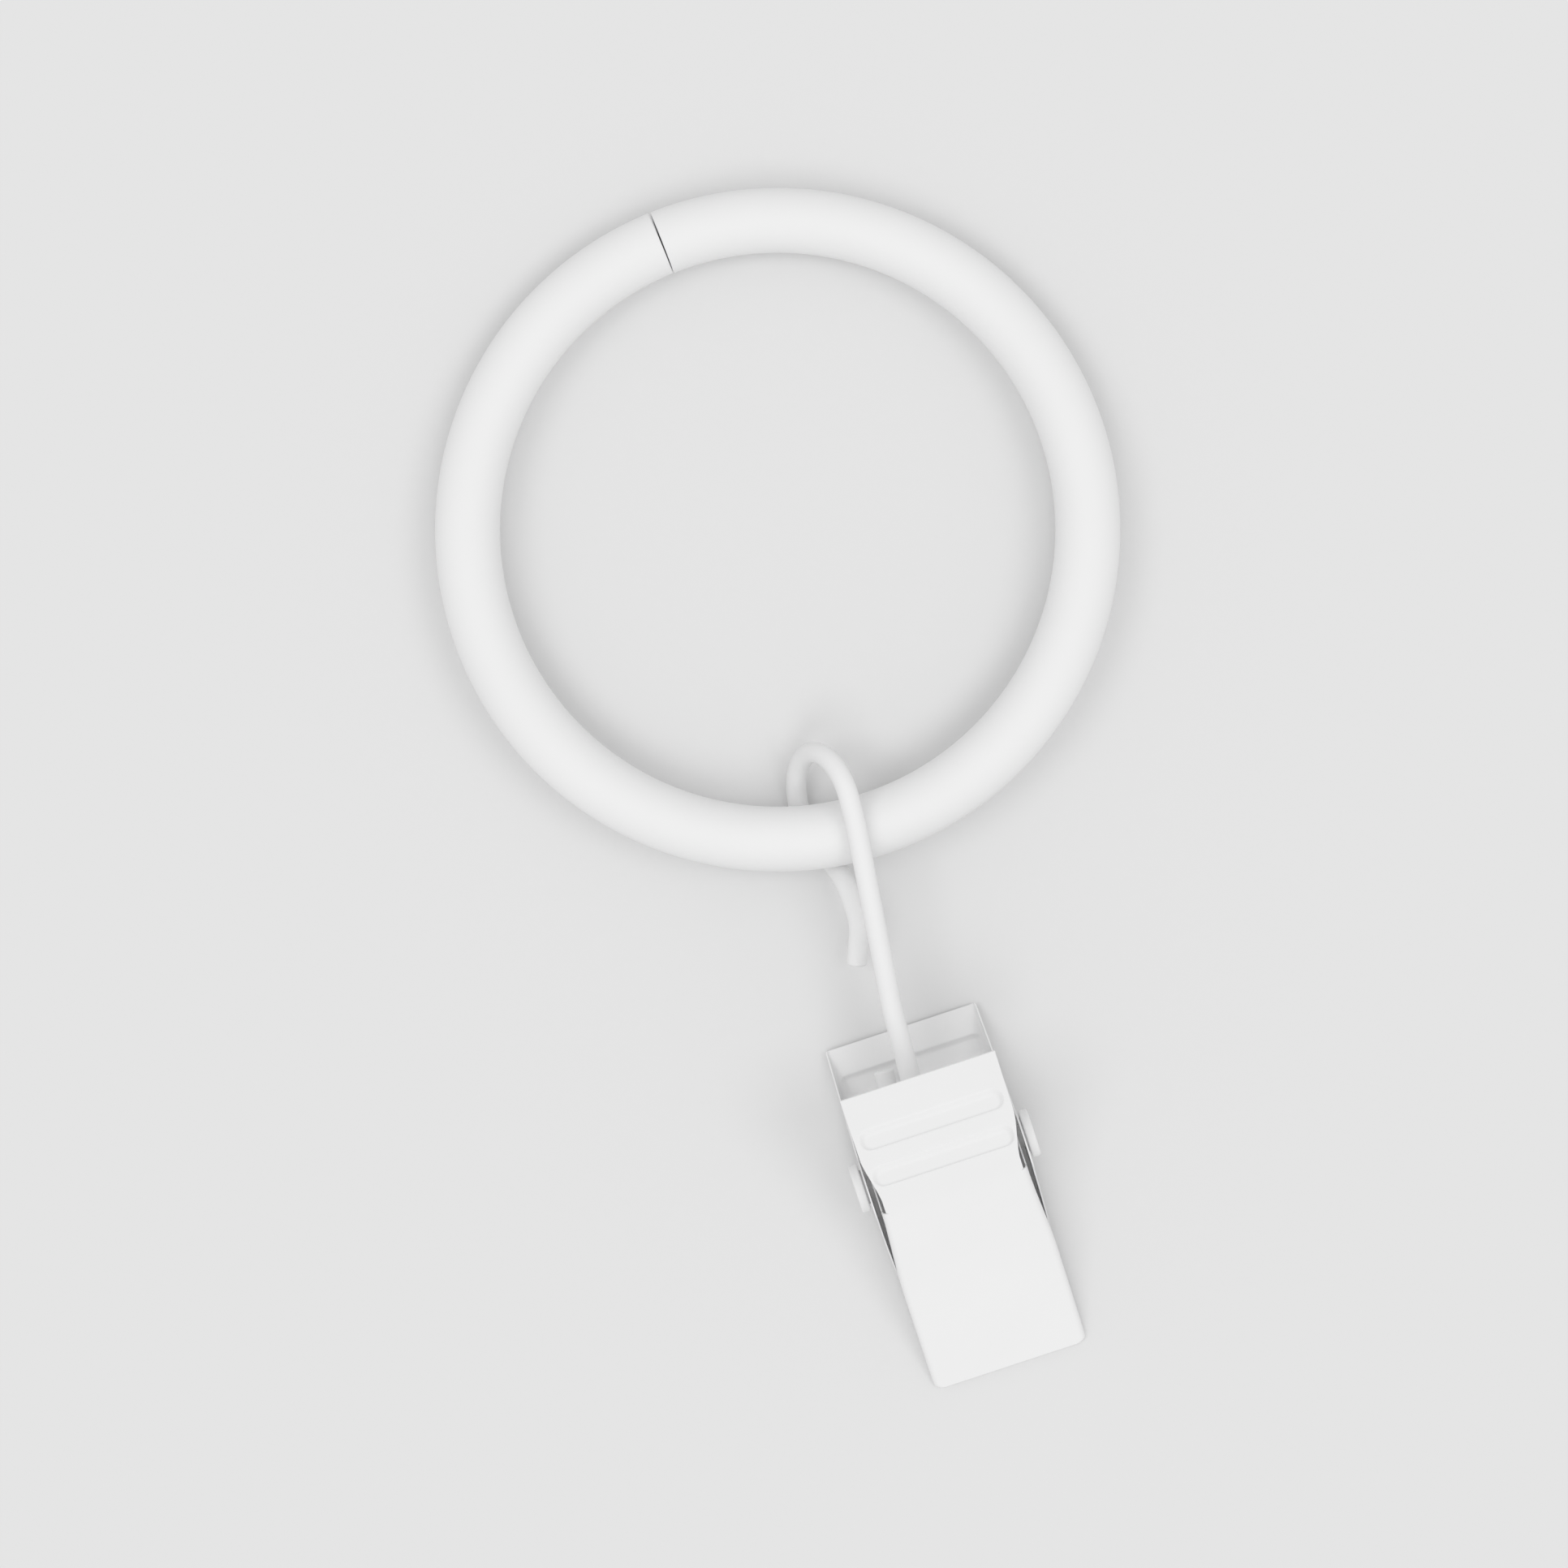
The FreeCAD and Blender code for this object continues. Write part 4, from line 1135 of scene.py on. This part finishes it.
@dataclass(frozen=True)
class SprayedCoat:
    """What all coats share: faint patches of tone and gloss, orange peel and fine grain."""

    patches_per_mm: float = 0.16
    patch_detail: float = 3.0
    patch_roughness: float = 0.55
    peel_detail: float = 1.0
    peel_roughness: float = 0.4
    grain_per_mm: float = 6.0
    grain_detail: float = 2.0
    grain_roughness: float = 0.6
    grain_share: float = 0.25
    gloss_swing: float = 0.12

    def group(self) -> bpy.types.ShaderNodeTree:
        """Build the shared node group.

        Returns:
            A group that turns a colour and sizes into Color, Roughness and Height.
        """
        group = bpy.data.node_groups.new("sprayed_coat", "ShaderNodeTree")
        sockets = {"INPUT": ("Color", "Mottle", "Roughness", "Peel Size"),
                   "OUTPUT": ("Color", "Roughness", "Height")}
        for way, names in sockets.items():
            for name in names:
                kind = "NodeSocketColor" if name == "Color" else "NodeSocketFloat"
                group.interface.new_socket(name, in_out=way, socket_type=kind)
        given = group.nodes.new("NodeGroupInput").outputs
        place = group.nodes.new("ShaderNodeTexCoord").outputs["Object"]
        peel = add_node(group, "ShaderNodeTexNoise", Vector=place,
                        Scale=add_math(group, "DIVIDE", 1 / MM, given["Peel Size"]),
                        Detail=self.peel_detail, Roughness=self.peel_roughness)
        grain = add_node(group, "ShaderNodeTexNoise", Vector=place, Scale=self.grain_per_mm / MM,
                         Detail=self.grain_detail, Roughness=self.grain_roughness)
        patches = add_node(group, "ShaderNodeTexNoise", Vector=place,
                           Scale=self.patches_per_mm / MM,
                           Detail=self.patch_detail, Roughness=self.patch_roughness)
        height = add_math(group, "MULTIPLY_ADD", grain.outputs["Fac"], self.grain_share,
                          peel.outputs["Fac"])
        centred = add_math(group, "SUBTRACT", patches.outputs["Fac"], NOISE_MEAN)
        swing = add_math(group, "MULTIPLY_ADD", centred, given["Mottle"], 1.0)
        rough = add_math(group, "MULTIPLY_ADD", centred, self.gloss_swing, given["Roughness"])
        tint = group.nodes.new("ShaderNodeVectorMath")
        tint.operation = "SCALE"
        feed(group, tint.inputs[0], given["Color"])
        feed(group, tint.inputs["Scale"], swing)
        add_node(group, "NodeGroupOutput", Color=tint.outputs["Vector"], Roughness=rough,
                 Height=height)
        return group


@dataclass(frozen=True)
class PowderCoat:
    """A matt white powder coat, as thick as the metal below lets it be."""

    name: str
    peel_size: float
    tone: float = 0.86
    mottle: float = 0.03
    roughness: float = 0.62
    peel_height: float = 0.004
    specular: float = 0.35

    def material(self, effects: bpy.types.ShaderNodeTree) -> bpy.types.Material:
        """Make the coat's material.

        Args:
            effects: The node group of the sprayed coat's colour, roughness and height.

        Returns:
            The new material.
        """
        material = bpy.data.materials.new(self.name)
        material.use_nodes = True
        tree = material.node_tree
        tree.nodes.clear()
        coat = tree.nodes.new("ShaderNodeGroup")
        coat.node_tree = effects
        own = {"Color": (self.tone, self.tone, self.tone, 1.0), "Mottle": self.mottle,
               "Roughness": self.roughness, "Peel Size": self.peel_size}
        for name, value in own.items():
            coat.inputs[name].default_value = value
        bump = add_node(tree, "ShaderNodeBump", Height=coat.outputs["Height"],
                        Distance=self.peel_height * MM, Strength=1.0)
        shader = add_node(tree, "ShaderNodeBsdfPrincipled", Base_Color=coat.outputs["Color"],
                          Roughness=coat.outputs["Roughness"], Normal=bump.outputs["Normal"],
                          Specular_IOR_Level=self.specular)
        add_node(tree, "ShaderNodeOutputMaterial", Surface=shader.outputs["BSDF"])
        return material


def dress(piece: bpy.types.Object, material: bpy.types.Material) -> None:
    """Give every slot of a piece one material."""
    if not piece.material_slots:
        piece.data.materials.append(material)
    for slot in piece.material_slots:
        slot.material = material


# The table, the light and the camera

@dataclass
class Studio:
    """A pale table under soft lamps and a white sky, seen by a long lens from straight above.

    The camera sees what lies between the two lengths of camera_sees away from it.
    """

    layout: Layout
    table_tone: float = 0.783
    table_size: float = 6000.0
    table_gap: float = 0.01
    sky_strength: float = 0.7
    lamp_share: float = 0.3
    lamp_tilt: float = 27.0
    lamp_spread: float = 26.0
    lens: float = 138.2
    sensor: float = 36.0
    camera_place: tuple[float, float] = (0.44, -17.44)
    camera_height: float = 415.0
    camera_sees: tuple[float, float] = (1.0, 100000.0)

    @property
    def table_colour(self) -> tuple[float, float, float, float]:
        """The table's own colour, which the camera also sees behind it."""
        return (self.table_tone, self.table_tone, self.table_tone, 1.0)

    def lay_table(self) -> None:
        """Add the table's top, just under the pieces that stand on it."""
        half = self.table_size / 2
        along = np.linspace(-half, half, 3)
        x, y = np.meshgrid(along, along, indexing="xy")
        points = np.stack([x, y, np.full_like(x, self.layout.table - self.table_gap)], axis=-1)
        top = mesh_from_grid("table_top", points, closed=False)
        material = bpy.data.materials.new("pale_table")
        material.use_nodes = True
        shader = material.node_tree.nodes["Principled BSDF"]
        shader.inputs["Base Color"].default_value = self.table_colour
        shader.inputs["Roughness"].default_value = 1.0
        shader.inputs["Specular IOR Level"].default_value = 0.0
        dress(top, material)

    def light(self) -> None:
        """Set an even white sky that the camera sees in the table's own tone, and three lamps.

        The lamps lean in from the left, from the right and from the picture's foot, and share
        their light evenly.
        """
        world = bpy.data.worlds.new("even_sky")
        bpy.context.scene.world = world
        world.use_nodes = True
        tree = world.node_tree
        tree.nodes.clear()
        path = tree.nodes.new("ShaderNodeLightPath")
        sky = add_node(tree, "ShaderNodeBackground", Color=(1.0, 1.0, 1.0, 1.0),
                       Strength=self.sky_strength)
        seen = add_node(tree, "ShaderNodeBackground", Color=self.table_colour, Strength=1.0)
        either = add_node(tree, "ShaderNodeMixShader", Fac=path.outputs["Is Camera Ray"])
        tree.links.new(sky.outputs[0], either.inputs[1])
        tree.links.new(seen.outputs[0], either.inputs[2])
        add_node(tree, "ShaderNodeOutputWorld", Surface=either.outputs[0])
        tilt = math.radians(self.lamp_tilt)
        turns = {"left_lamp": (0.0, -tilt, 0.0), "right_lamp": (0.0, tilt, 0.0),
                 "front_lamp": (tilt, 0.0, 0.0)}
        for name, turn in turns.items():
            lamp = bpy.data.lights.new(name, "SUN")
            lamp.energy = self.lamp_share * math.pi / len(turns) / math.cos(tilt)
            lamp.angle = math.radians(self.lamp_spread)
            hung = bpy.data.objects.new(name, lamp)
            hung.rotation_euler = turn
            bpy.context.scene.collection.objects.link(hung)

    def set_camera(self) -> None:
        """Put the camera straight above, looking down, with the clip at the picture's foot."""
        data = bpy.data.cameras.new("camera_above")
        data.lens = self.lens
        data.sensor_width = self.sensor
        data.clip_start, data.clip_end = (length * MM for length in self.camera_sees)
        camera = bpy.data.objects.new("camera_above", data)
        across, up = self.camera_place
        camera.location = (across * MM, up * MM, (self.layout.table + self.camera_height) * MM)
        bpy.context.scene.collection.objects.link(camera)
        bpy.context.scene.camera = camera
        bpy.context.scene.view_settings.view_transform = "Standard"


@dataclass
class Assembly:
    """All pieces of the object, built one after another; all but the spring are set on the bodies
    they move with.
    """

    layout: Layout = field(default_factory=Layout)

    def build(self) -> None:
        """Build each piece and dress it, tie all but the spring to its body, and hide the CAD node
        that each stands for.
        """
        effects = SprayedCoat().group()
        peel_sizes = {"ring_coat": 0.9, "wire_coat": 0.6, "sheet_coat": 0.8, "pin_coat": 0.5,
                      "spring_coat": 0.5}
        coats = {name: PowderCoat(name, peel_size=size).material(effects)
                 for name, size in peel_sizes.items()}
        made = (
            (SplitRing, "ring_coat", Body.RING, "curtain_ring", "coated_ring"),
            (WireHook, "wire_coat", Body.HOOK, "wire_hook", "coated_wire"),
            (RivetPin, "pin_coat", Body.CLIP, "pivot_pin", "coated_pin"),
            (FrontLeaf, "sheet_coat", Body.FRONT_LEAF, "clip_front", "coated_sheet"),
            (BackLeaf, "sheet_coat", Body.CLIP, "clip_back", "coated_sheet"),
        )
        for kind, coat, body, node, slot in made:
            piece = kind(self.layout).build()
            self.finish(piece, coats[coat], node)
            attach(piece, body.value)
        spring = JawSpring(self.layout)
        coil = spring.build()
        self.finish(coil, coats["spring_coat"], "jaw_spring")
        front_end, back_end = (tuple(map(float, end * MM)) for end in spring.coil_ends())
        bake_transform(coil)

    def finish(self, piece: bpy.types.Object, material: bpy.types.Material, node: str) -> None:
        """Dress a piece, hide the CAD node that it stands for and log which node that is.

        Args:
            piece: The piece's object.
            material: Its finish.
            node: The CAD node that it replaces.
        """
        dress(piece, material)
        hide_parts(node)
        LOG.info("%s stands for %s: %d faces", piece.name, node, len(piece.data.polygons))


def main() -> None:
    """Build the studio and the object."""
    logging.basicConfig(level=logging.INFO)
    assembly = Assembly()
    studio = Studio(assembly.layout)
    studio.set_camera()
    studio.lay_table()
    studio.light()
    assembly.build()


if __name__ == "__main__":
    main()
